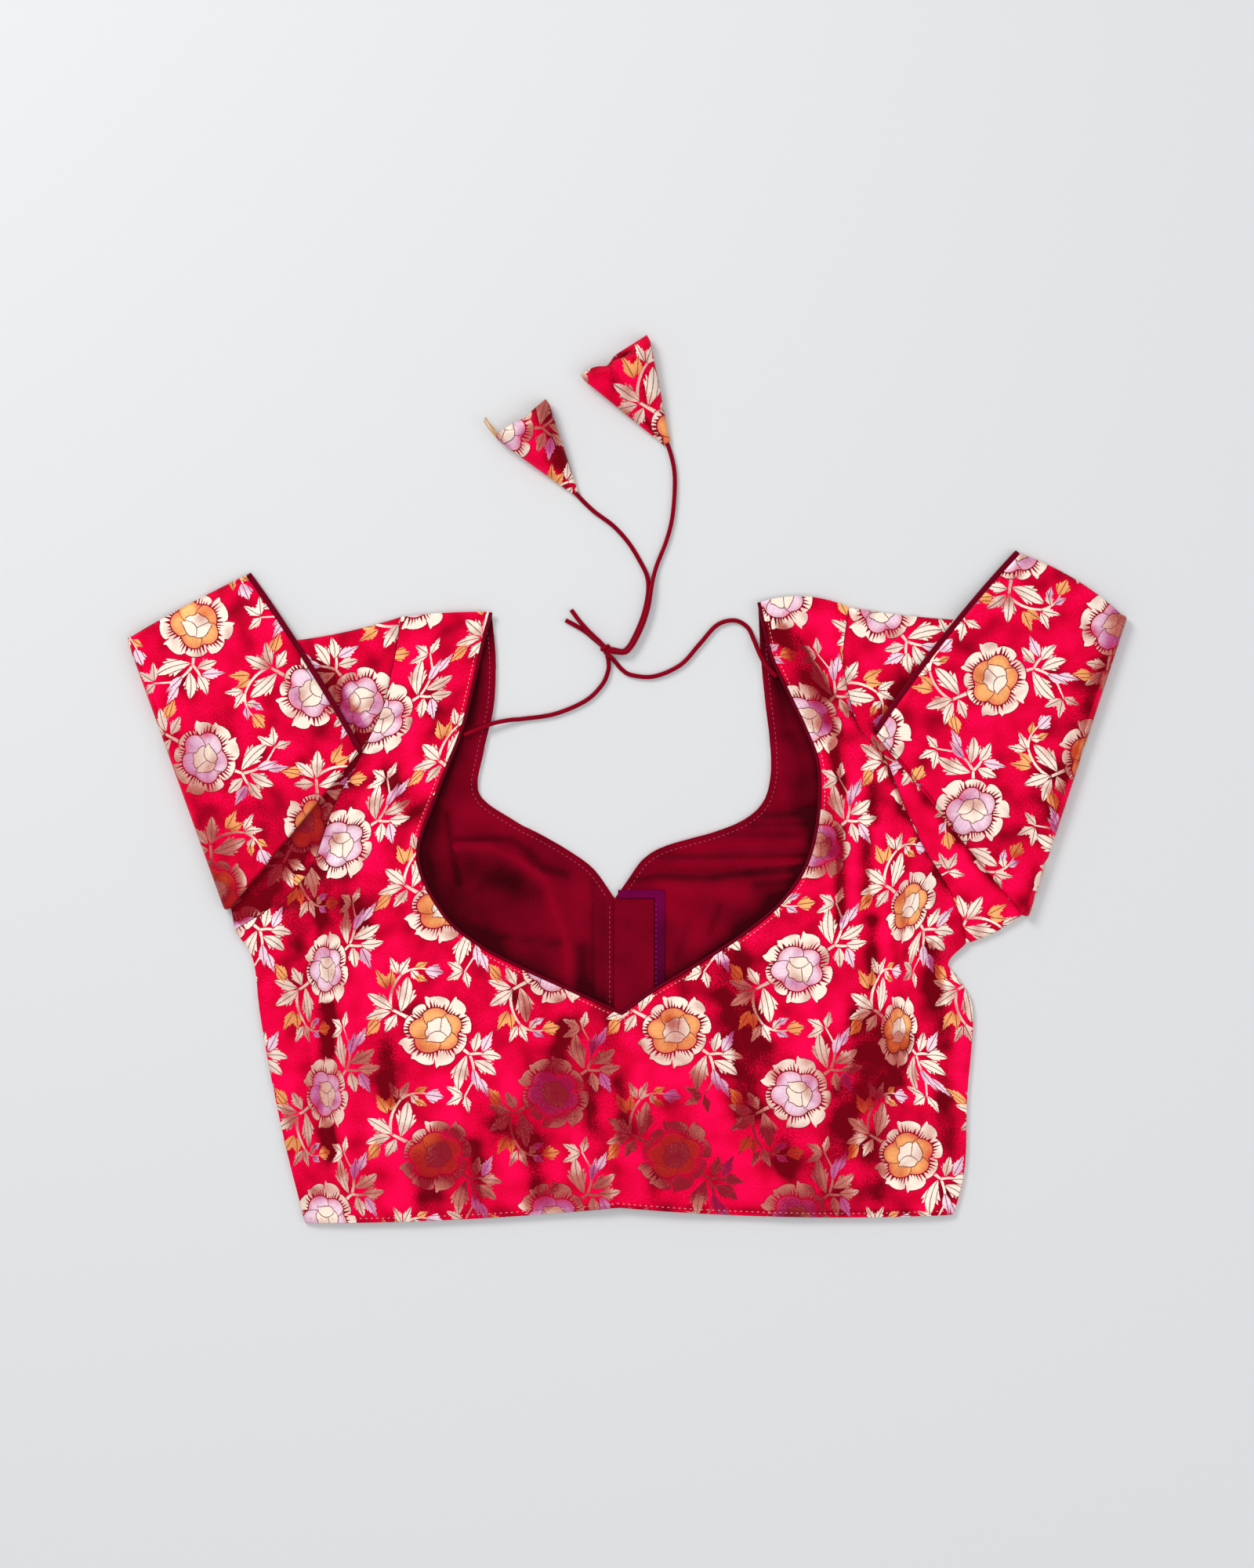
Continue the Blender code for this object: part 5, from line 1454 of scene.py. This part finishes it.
fronts, linings = {}, {}
for side in ROWS:
    x, y, _ = front_grid(side, 0.0, FRONT_COLUMNS)
    z = np.full_like(x, FRONT_WALL)
    # the back's painted light and shade, turned over
    light_and_shade, weft_shade = silk_light_and_shade(-x, y)
    fronts[side] = sheet_piece("front_cloth_" + side, x, y, z, brocade,
                               (x, y + FRONT_WEAVE_SHIFT), light_and_shade, FRONT_WEFT_SHADE * weft_shade)
    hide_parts("front_" + side)
    thicken(fronts[side], FRONT_WALL)
    x, y, from_neck = front_grid(side, LINING_INSET, LINING_COLUMNS, LINING_HEM_INSET)
    folds = strokes(x, y, LINING_FOLDS, FOLD_END, np.maximum) * ease(from_neck / LINING_FADE)
    z = LINING_FLOOR + LINING_WALL + folds
    # painted shadow of the back's neck edge, and painted light and shade from strokes and creases
    shadow = NECK_SHADE * np.exp(-((off_the_neck(x, y) / NECK_SHADE_REACH) ** 2))
    crease_shades = strokes(x, y, LINING_CREASE_SHADES, combine=stronger)
    light_and_shade = np.clip(strokes(x, y, LINING_LIGHT_AND_SHADE) + crease_shades + shadow, -1, 1)
    linings[side] = sheet_piece("lining_cloth_" + side, x, y, z, wine, light_and_shade=light_and_shade)
    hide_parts("front_lining_" + side)
    thicken(linings[side], LINING_WALL)
    print(side, "front", round(shell_area(fronts[side]), 4), "square metres, lining",
          round(shell_area(linings[side]), 4))

# %% [markdown]
# ### Placket strips
#
# The hooks' placket is two narrow strips down the middle of the front: a maroon facing, and
# the violet edge of the strip under it. Only their upper ends show above the back's V.

# %% Placket
FACING_LEFT, FACING_RIGHT, FACING_TOP, PLACKET_HEM = -8.0, 16.5, -7.5, -192.0
FACING_ROLL = 0.12
# the underlap's edge runs along the top of the placket and down its right side
UNDERLAP_OUTSIDE = [(-5.5, -2.0), (23.0, -2.0), (23.0, PLACKET_HEM)]
UNDERLAP_INSIDE = [(-5.5, -7.2), (16.8, -7.2), (16.8, PLACKET_HEM)]
UNDERLAP_ROWS, UNDERLAP_COLUMNS = (14, 90), 5
# the edge is in shade, which deepens from its top downwards
EDGE_SHADE, DEEPER_SHADE, SHADE_FROM, SHADE_OVER = -0.2, -0.7, -6.0, 60.0

x, y = np.meshgrid(
    np.linspace(FACING_LEFT, FACING_RIGHT, 13), np.linspace(PLACKET_HEM, FACING_TOP, 90))
turn = (x - FACING_LEFT) / (FACING_RIGHT - FACING_LEFT) * 2 * math.pi
z = STRIP_FLOOR + STRIP_WALL + FACING_ROLL * np.cos(turn)
facing = sheet_piece("placket_facing", x, y, z, wine)
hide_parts("placket_strip")
thicken(facing, STRIP_WALL)

across = np.linspace(0.0, 1.0, UNDERLAP_COLUMNS + 1)
rows = []
for start, count in enumerate(UNDERLAP_ROWS):
    for k in range(count + start):
        share = k / count
        outer, inner = (
            np.array(edge[start]) * (1 - share) + np.array(edge[start + 1]) * share
            for edge in (UNDERLAP_OUTSIDE, UNDERLAP_INSIDE))
        rows.append([inner + (outer - inner) * w for w in across])
rows = np.array(rows)
x, y = rows[:, :, 0], rows[:, :, 1]
z = np.full_like(x, STRIP_FLOOR + STRIP_WALL)
in_shade = DEEPER_SHADE * ease((SHADE_FROM - y) / SHADE_OVER) + EDGE_SHADE
underlap = sheet_piece("placket_underlap_edge", x, y, z, violet, light_and_shade=in_shade)
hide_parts("placket_underlap")
thicken(underlap, STRIP_WALL)

# %% [markdown]
# ### Piping
#
# The back neck is finished with a cord inside a bias strip. It is a tube that follows the
# neck's edge, mitred at the V.

# %% Piping
PIPING_RADIUS, PIPING_GAP = 1.05, 0.05
neck = []
for side in ("left", "right"):
    x, y, z = back_grids[side]
    first = V_ROW * FINE_STEPS
    edge = np.stack([x[first:, 0], y[first:, 0], z[first:, 0]], axis=1)
    neck = list(edge[::-1]) if side == "left" else neck + list(edge[1:])
line = offset_line(neck, PIPING_RADIUS + PIPING_GAP)
piping_line = [(p[0], p[1], q[2] - BROCADE_WALL / 2) for p, q in zip(line, neck)]
piping = tube("back_neck_piping_roll", piping_line, PIPING_RADIUS, maroon)
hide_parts("back_neck_piping")
print("piping in mm", round(line_length([np.array(p) for p in piping_line]), 1))

# %% [markdown]
# ## Sleeves
#
# A sleeve is a tube of brocade, pressed flat and folded back over itself at the elbow. It is
# built as rings round the tube, along the lower leg, round the fold and back along the upper
# leg, with the same rings a wall's thickness further in for its inside.

# %% Sleeve lines
SLEEVES = {
    "left": {
        "fold_top": (-303.5, 150.5), "fold_bottom": (-244.0, -14.5),
        "hem_top": (-228.5, 190.5), "hem_bottom": (-160.0, 82.5),
        "first_top_bow": -10.0, "first_bottom_bow": 0.0, "second_top_bow": 1.0, "hem_bow": 2.0,
        # a rose on each leg: where it is, how far the cloth is turned there, and where the
        # rose is in the weave
        "upper_rose": ((-261.3, 158.7), -58.0, (0.0, 0.0)),
        "lower_rose": ((-161.5, 111.6), 92.0, ODD_ROSE),
    },
    "right": {
        "fold_top": (303.4, 163.5), "fold_bottom": (243.5, -18.5),
        "hem_top": (236.0, 204.0), "hem_bottom": (148.5, 93.5),
        "first_top_bow": -6.0, "first_bottom_bow": -2.0, "second_top_bow": 4.0, "hem_bow": 3.0,
        "upper_rose": ((222.3, 124.9), 52.0, (0.0, 0.0)),
        "lower_rose": ((155.3, 169.0), -90.0, ODD_ROSE),
    },
}
SLEEVE_HALF, SLEEVE_FOLD_RADIUS, SLEEVE_CROWN = 1.9, 2.15, 1.2
SLEEVE_DROP, SLEEVE_DROP_START, SLEEVE_DROP_WIDTH = 3.4, 3.0, 28.0
BAND_WIDTH = 3.0
SLEEVE_EDGE_STEPS = 6
FIRST_RINGS, FOLD_RINGS, SECOND_RINGS = 30, 14, 46
ROUND_STEPS = 5


def bow_aside(amount, s, a, b):
    """A shift sideways, largest in the middle of the way from a to b, upwards if positive."""
    way = (b - a) / np.linalg.norm(b - a)
    normal = np.array([-way[1], way[0]])
    if normal[1] < 0:
        normal = -normal
    return normal * amount * 4.0 * s * (1.0 - s)


class Sleeve:
    """A flattened tube that lies out from the armhole and is folded back over itself."""

    def __init__(self, side):
        size = SLEEVES[side]
        self.size = size
        top, bottom = np.array(size["fold_top"]), np.array(size["fold_bottom"])
        self.down = (bottom - top) / np.linalg.norm(bottom - top)
        outward = np.array([-self.down[1], self.down[0]])
        self.outward = outward if outward[0] * top[0] > 0 else -outward
        reach = SLEEVE_FOLD_RADIUS + SLEEVE_HALF
        top, bottom = top - self.outward * reach, bottom - self.outward * reach
        underarm = UNDERARM_ROW[side] * SLEEVE_EDGE_STEPS
        outer = edge_curve(side, "outer", SLEEVE_EDGE_STEPS)[underarm:]
        seam = np.array(offset_line(outer, SEAM_GAP if side == "left" else -SEAM_GAP))[::-1]
        lengths = np.concatenate([[0.0], np.cumsum(np.linalg.norm(np.diff(seam, axis=0), axis=1))])
        self.shares = (lengths / lengths[-1])[:, None]
        self.seam = seam
        self.fold = top + (bottom - top) * self.shares
        hem_top, hem_bottom = np.array(size["hem_top"]), np.array(size["hem_bottom"])
        across = (hem_bottom - hem_top) / np.linalg.norm(hem_bottom - hem_top)
        past_hem = np.array([-across[1], across[0]])
        self.past_hem = past_hem if float(past_hem @ (hem_top - top)) > 0 else -past_hem
        past = size["hem_bow"] * 4 * self.shares * (1 - self.shares) - BAND_WIDTH - SEAM_GAP
        self.hem = hem_top + (hem_bottom - hem_top) * self.shares + self.past_hem * past
        steps = sorted((self.first_leg(k / 8)[0] for k in range(9)), key=lambda q: q[0])
        self.top_edge = np.array(steps)

    def first_leg(self, s):
        """The line across the first leg, s from 0 at the armhole to 1 at the fold."""
        v = self.shares
        top = bow_aside(self.size["first_top_bow"], s, self.seam[0], self.fold[0])
        bottom = bow_aside(self.size["first_bottom_bow"], s, self.seam[-1], self.fold[-1])
        return self.seam + (self.fold - self.seam) * s + (1 - v) * top + v * bottom

    def second_leg(self, s):
        """The line across the folded-back leg, s from 0 at the fold to 1 at the hem."""
        bow = bow_aside(self.size["second_top_bow"], s, self.fold[0], self.hem[0])
        return self.fold + (self.hem - self.fold) * s + (1 - self.shares) * bow

    def section(self, spine, half, end_inset):
        """Points round the flattened tube and their levels, from -1 below to 1 above."""
        line = [np.array(p) for p in spine]
        angles = [math.pi / 2 * k / (ROUND_STEPS - 1) for k in range(ROUND_STEPS)]
        start, end = (
            [(place_on(way, end_inset + half * (1 - math.cos(a))), math.sin(a)) for a in angles]
            for way in (line, line[::-1]))
        top = start + [(p, 1.0) for p in line[1:-1]] + end[::-1]
        bottom = [(p, -level) for p, level in top[-2:0:-1]]
        both = top + bottom
        return np.array([p for p, _ in both]), np.array([level for _, level in both])

    def ring(self, place, s, half, end_inset, shift=(0.0, 0.0)):
        """A ring's points and levels. place is 'first', 'fold' or 'second', s from 0 to 1."""
        if place == "second":
            p, level = self.section(self.second_leg(s), half, end_inset)
            p = p + np.array(shift)
            count = len(p)
            below = np.arange(count) - (count // 2)
            across = np.maximum(below, 0) / (count - count // 2)
            crown = SLEEVE_CROWN * np.sin(math.pi * across) * math.sin(math.pi * s)
            edge = np.interp(p[:, 0], self.top_edge[:, 0], self.top_edge[:, 1])
            drop = SLEEVE_DROP * ease((p[:, 1] - edge - SLEEVE_DROP_START) / SLEEVE_DROP_WIDTH)
            z = SLEEVE_HALF + 2 * SLEEVE_FOLD_RADIUS - level * half + crown - drop
            return np.column_stack([p, z]), level
        spine = self.first_leg(s) if place == "first" else self.fold
        angle = math.pi * s if place == "fold" else 0.0
        p, level = self.section(spine, half, end_inset)
        lift = SLEEVE_FOLD_RADIUS * (1 - math.cos(angle))
        p = p + self.outward * math.sin(angle) * (SLEEVE_FOLD_RADIUS - level * half)[:, None]
        return np.column_stack([p, SLEEVE_HALF + lift + math.cos(angle) * level * half]), level

    def stations(self):
        """Every ring of the sleeve, from the armhole round the fold to the hem."""
        first = [("first", k / FIRST_RINGS) for k in range(FIRST_RINGS)]
        fold = [("fold", k / FOLD_RINGS) for k in range(FOLD_RINGS)]
        return first + fold + [("second", k / SECOND_RINGS) for k in range(SECOND_RINGS + 1)]

    def cloth(self, p, place, s, outside):
        """Where a ring's points are in the woven cloth, for the skin that turns over the fold's
        outside or the one that lies within it."""
        flat = unrolled = p[:, :2]
        if outside and place != "second":
            from_fold = (self.fold[0] - flat) @ self.outward
            round_fold = -(SLEEVE_FOLD_RADIUS + SLEEVE_HALF) * math.pi
            target = round_fold * (1 - s) if place == "fold" else round_fold - from_fold
            unrolled = flat + np.outer(from_fold - target, self.outward)
        rose, turn, start = self.size["upper_rose" if outside else "lower_rose"]
        turn = math.radians(turn)
        away = unrolled - np.array(rose)
        u = away[:, 0] * math.cos(turn) + away[:, 1] * math.sin(turn)
        v = -away[:, 0] * math.sin(turn) + away[:, 1] * math.cos(turn)
        return np.column_stack([u + start[0], v + start[1]])


# %% Sleeve folds, and painted light and shade
SLEEVE_FOLDS = {
    "left": [
        (-290, 120, -262, 92, 6, 0.8), (-262, 60, -240, 20, 6, 0.7),
        (-236, 150, -206, 110, 7, 0.7), (-216, 60, -236, 0, 6, 0.8),
        (-250, 110, -226, 70, 5, -0.6), (-276, 156, -250, 168, 5, 0.5),
    ],
    "right": [
        (290, 120, 262, 96, 6, 0.8), (262, 60, 244, 20, 6, 0.7), (240, 160, 214, 116, 7, 0.7),
        (214, 60, 234, 4, 6, 0.8), (252, 112, 230, 72, 5, -0.6), (190, 60, 200, 10, 5, 0.7),
    ],
}
SLEEVE_LIGHT_AND_SHADE = {
    # painted light and shade, for the folded-back leg, which lies on top, and for the leg under it
    "left": {
        "upper": [
            (-298, 146, -246, -8, 5, 0.4), (-250, 140, -220, 90, 12, 0.4),
            (-276, 60, -252, 30, 12, -0.5), (-236, 60, -216, 40, 12, -0.4),
            (-286, 116, -270, 100, 10, 0.4), (-244, 100, -226, 84, 9, -0.4),
            (-222, 180, -206, 150, 7, 0.4), (-200, 130, -180, 100, 8, -0.4),
            (-243, -14, -240, -2, 7, -0.9),
        ],
        "lower": [
            (-166, 72, -190, 36, 9, -1), (-190, 38, -228, -4, 12, -1.7),
            (-240, -16, -228, -6, 10, -1.2), (-182, 128, -158, 88, 8, -1.3),
            (-206, 132, -190, 132, 6, -0.5),
        ],
    },
    "right": {
        "upper": [
            (304, 160, 248, -8, 9, -0.9), (262, 150, 230, 104, 12, 0.4),
            (200, 170, 176, 140, 9, 0.4), (218, 90, 192, 62, 9, 0.5),
            (262, 74, 244, 40, 10, -0.5), (250, 20, 236, 0, 9, 0.4),
            (284, 130, 270, 100, 7, -0.5), (222, 30, 206, 46, 8, -0.4),
        ],
        "lower": [
            (152, 88, 200, 30, 3.6, -0.9), (200, 30, 240, -14, 3.6, -1),
            (166, 66, 216, -4, 7, 0.8), (176, 128, 152, 98, 6, -1.3),
            (150, 140, 170, 150, 9, 0.6), (222, 0, 234, -14, 8, 0.5),
        ],
    },
}
# painted shade on the golden weft, where it doesn't catch the light
SLEEVE_WEFT_SHADES = {
    "left": [
        (-272, 90, -262, 60, 14, 0.35), (-262, 44, -242, 20, 14, 0.5),
        (-250, 8, -240, -6, 12, 0.7), (-196, 56, -190, 30, 12, 0.3),
    ],
    "right": [
        (300, 156, 288, 112, 13, 0.6), (280, 96, 262, 40, 9, 0.35), (190, 44, 226, -4, 9, 0.2),
        (236, 30, 242, 6, 8, 0.4),
    ],
}
# painted shade on the tube's edges, and the sleeves' painted shade may be deeper than the back's
RIM_SHADE, SLEEVE_DARKEST = -0.7, -1.3
# only the skin on top has folds
TOP_SKIN = -0.9


def rings_piece(name, outer, inner, material, cloths, lights_and_shades, weft_shades):
    """A wall between rings of an outside and an inside, with open ends closed by the wall."""
    count, rows = len(outer[0]), len(outer)
    points = np.concatenate([np.concatenate(outer), np.concatenate(inner)])
    faces = []
    for start in (0, rows * count):
        for r in range(rows - 1):
            faces += ring_faces(start + r * count, start + (r + 1) * count, count)
    for r in (0, rows - 1):
        faces += ring_faces(r * count, (rows + r) * count, count)
    above, below, levels = cloths
    uvs = []
    for number, face in enumerate(faces):
        k = number % count
        source = above if levels[k] + levels[(k + 1) % count] > 0 else below
        uvs += [source[corner % (rows * count)] for corner in face]
    piece = cloth_piece(name, points, faces, material, uvs, lights_and_shades, weft_shades)
    turn_outwards(piece, merge=0)
    return piece


for side in SLEEVES:
    sleeve = Sleeve(side)
    outer, inner, above, below, lights_and_shades, weft_shades = [], [], [], [], [], []
    for place, s in sleeve.stations():
        ring, levels = sleeve.ring(place, s, SLEEVE_HALF, 0.0)
        lining, _ = sleeve.ring(place, s, SLEEVE_HALF - BROCADE_WALL, BROCADE_WALL)
        if place == "second":
            lift = strokes(ring[:, 0], ring[:, 1], SLEEVE_FOLDS[side], FOLD_END)
            lift *= levels < TOP_SKIN
            lift *= math.sin(math.pi * s) ** 0.5
            ring[:, 2] += lift
            lining[:, 2] += lift
        leg = "upper" if place == "second" else "lower"
        # painted light and shade, painted shade on the weft, deeper where the ground's is deep,
        # and painted shade on the tube's rims
        light_and_shade = strokes(ring[:, 0], ring[:, 1], SLEEVE_LIGHT_AND_SHADE[side][leg])
        weft_shade = strokes(ring[:, 0], ring[:, 1], SLEEVE_WEFT_SHADES[side])
        weft_shades.append(np.clip(weft_shade + np.clip(-light_and_shade - DARK_GROUND, 0, 1), 0, 1))
        light_and_shade = light_and_shade + RIM_SHADE * (1.0 - np.abs(levels))
        lights_and_shades.append(np.clip(light_and_shade, SLEEVE_DARKEST, LIGHT_AND_SHADE_LIMIT))
        outer.append(ring)
        inner.append(lining)
        above.append(sleeve.cloth(ring, place, s, False))
        below.append(sleeve.cloth(ring, place, s, True))
    lights_and_shades, weft_shades = np.concatenate(lights_and_shades + lights_and_shades), np.concatenate(weft_shades + weft_shades)
    cloths = (np.concatenate(above), np.concatenate(below), levels)
    piece = rings_piece("sleeve_cloth_" + side, outer, inner, brocade,
                        cloths, lights_and_shades, weft_shades)
    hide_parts("sleeve_" + side)
    print(side, "sleeve", len(piece.data.polygons), "faces,", round(shell_area(piece), 4),
          "square metres")

# %% [markdown]
# ### Sleeve bindings
#
# The sleeve's hem is bound with a narrow strip that is rolled over and stitched down, so it
# shows as two small rounds side by side.

# %% Bindings
BAND_STEPS, BAND_SWELL = 18, 0.72
BAND_GROOVE, GROOVE_WIDTH = 0.35, 0.3
for side in SLEEVES:
    sleeve = Sleeve(side)
    loops = []
    for k in range(BAND_STEPS):
        angle = 2 * math.pi * k / BAND_STEPS
        along = SEAM_GAP + BAND_WIDTH / 2 + (BAND_WIDTH / 2 + SEAM_GAP / 2) * math.cos(angle)
        groove = 1.0 - BAND_GROOVE * math.exp(-((math.cos(angle) / GROOVE_WIDTH) ** 2))
        half = SLEEVE_HALF - BROCADE_WALL / 2 + BAND_SWELL * math.sin(angle) * groove
        ring, _ = sleeve.ring("second", 1.0, half, SLEEVE_HALF - half, sleeve.past_hem * along)
        loops.append(ring)
    count = len(loops[0])
    faces = []
    for r in range(BAND_STEPS):
        faces += ring_faces(r * count, (r + 1) % BAND_STEPS * count, count)
    piece = cloth_piece(
        "sleeve_binding_roll_" + side, np.concatenate(loops), faces, maroon)
    turn_outwards(piece, merge=0)
    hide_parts("sleeve_binding_" + side)

# %% [markdown]
# ## Stitching
#
# The tailor's stitches show as small pale dashes: round both necks, down the placket and
# along the hem. A stitch is one small bead of thread. An Array repeats it, a Curve bends the
# row along the seam, and every row lies on the cloth that it holds.

# %% Rows of stitches
THREAD_SINK, SEAM_SPAN = 0.12, 1.2
STITCH_SEGMENTS, STITCH_RINGS = 6, 4


def top_of(piece):
    """A function that gives a piece's upper surface in mm at a place, or None beside it."""
    tree = BVHTree.FromObject(piece, bpy.context.evaluated_depsgraph_get())

    def level(x, y):
        hit = tree.ray_cast((x * MM, y * MM, 0.1), (0.0, 0.0, -1.0))[0]
        return None if hit is None else hit.z / MM

    return level


def stitch_row(name, line, piece, material, length, spacing, thickness):
    """Stitches along a flat line of points in mm, laid on a piece."""
    level = top_of(piece)
    path_points = []
    for p in divided([np.array(q, float)[:2] for q in line], SEAM_SPAN):
        height = level(p[0], p[1])
        if height is not None:
            z = height + thickness / 2 - THREAD_SINK
            path_points.append((p[0] * MM, p[1] * MM, z * MM, 1.0))
    path = bpy.data.curves.new(name + "_path", "CURVE")
    path.dimensions = "3D"
    spline = path.splines.new("POLY")
    spline.points.add(len(path_points) - 1)
    for place, co in zip(spline.points, path_points):
        place.co = co
    guide = bpy.data.objects.new(name + "_path", path)
    bpy.context.scene.collection.objects.link(guide)
    total = line_length([np.array(co[:3]) for co in path_points]) / MM

    bpy.ops.object.select_all(action="DESELECT")
    bpy.ops.mesh.primitive_uv_sphere_add(
        segments=STITCH_SEGMENTS, ring_count=STITCH_RINGS, radius=0.5,
        rotation=(0.0, math.pi / 2, 0.0))
    row = bpy.context.object
    row.name = row.data.name = name
    bpy.ops.transform.resize(
        value=(length * MM, thickness * MM, thickness * MM), center_override=(0.0, 0.0, 0.0))
    bpy.ops.transform.translate(value=(length / 2 * MM, 0.0, 0.0))
    bpy.ops.object.transform_apply(location=True, rotation=True, scale=True)
    repeat = row.modifiers.new("repeat", "ARRAY")
    repeat.count = int(total / spacing)
    repeat.use_relative_offset, repeat.use_constant_offset = False, True
    repeat.constant_offset_displace = (spacing * MM, 0.0, 0.0)
    bend = row.modifiers.new("along_seam", "CURVE")
    bend.object, bend.deform_axis = guide, "POS_X"
    bpy.ops.object.modifier_apply(modifier=repeat.name)
    bpy.ops.object.modifier_apply(modifier=bend.name)
    bpy.data.objects.remove(guide)
    bpy.data.curves.remove(path)
    row.data.materials.append(material)
    row.data.shade_smooth()
    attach(row, "root")
    return row


neck_flat = [p[:2] for p in neck]
front_necks = {side: edge_curve(side, "front")[V_ROW * FINE_STEPS:] for side in ROWS}
left_hem, right_hem = (
    [np.array([x, y]) for x, y in zip(grid[0][0], grid[1][0])] for grid in back_grids.values())
hem = left_hem[::-1] + right_hem[1:]
stitches = {
    "neck": stitch_row("stitches_back_neck", offset_line(neck_flat, -2.0)[3:-3], back, pale_thread,
                       1.5, 2.7, 0.5),
    "hem": stitch_row("stitches_hem", offset_line(hem, 2.6)[1:-1], back, pale_thread,
                      1.3, 3.4, 0.5),
    "left": stitch_row("stitches_front_neck_left", offset_line(front_necks["left"], 3.8)[2:-3],
                       linings["left"], pink_thread, 1.6, 3.0, 0.5),
    "right": stitch_row("stitches_front_neck_right", offset_line(front_necks["right"], -3.8)[2:-3],
                        linings["right"], pink_thread, 1.6, 3.0, 0.5),
    "placket": stitch_row("stitches_placket", [(-10.5, -12.0), (-10.5, -92.0)], linings["left"],
                          pink_thread, 1.6, 3.0, 0.5),
    "underlap": stitch_row("stitches_underlap", [(17.6, -10.0), (17.6, -90.0)], underlap,
                           violet_thread, 1.2, 3.2, 0.45),
}
print("stitches", {name: len(row.data.polygons) // (STITCH_SEGMENTS * STITCH_RINGS)
                   for name, row in stitches.items()})
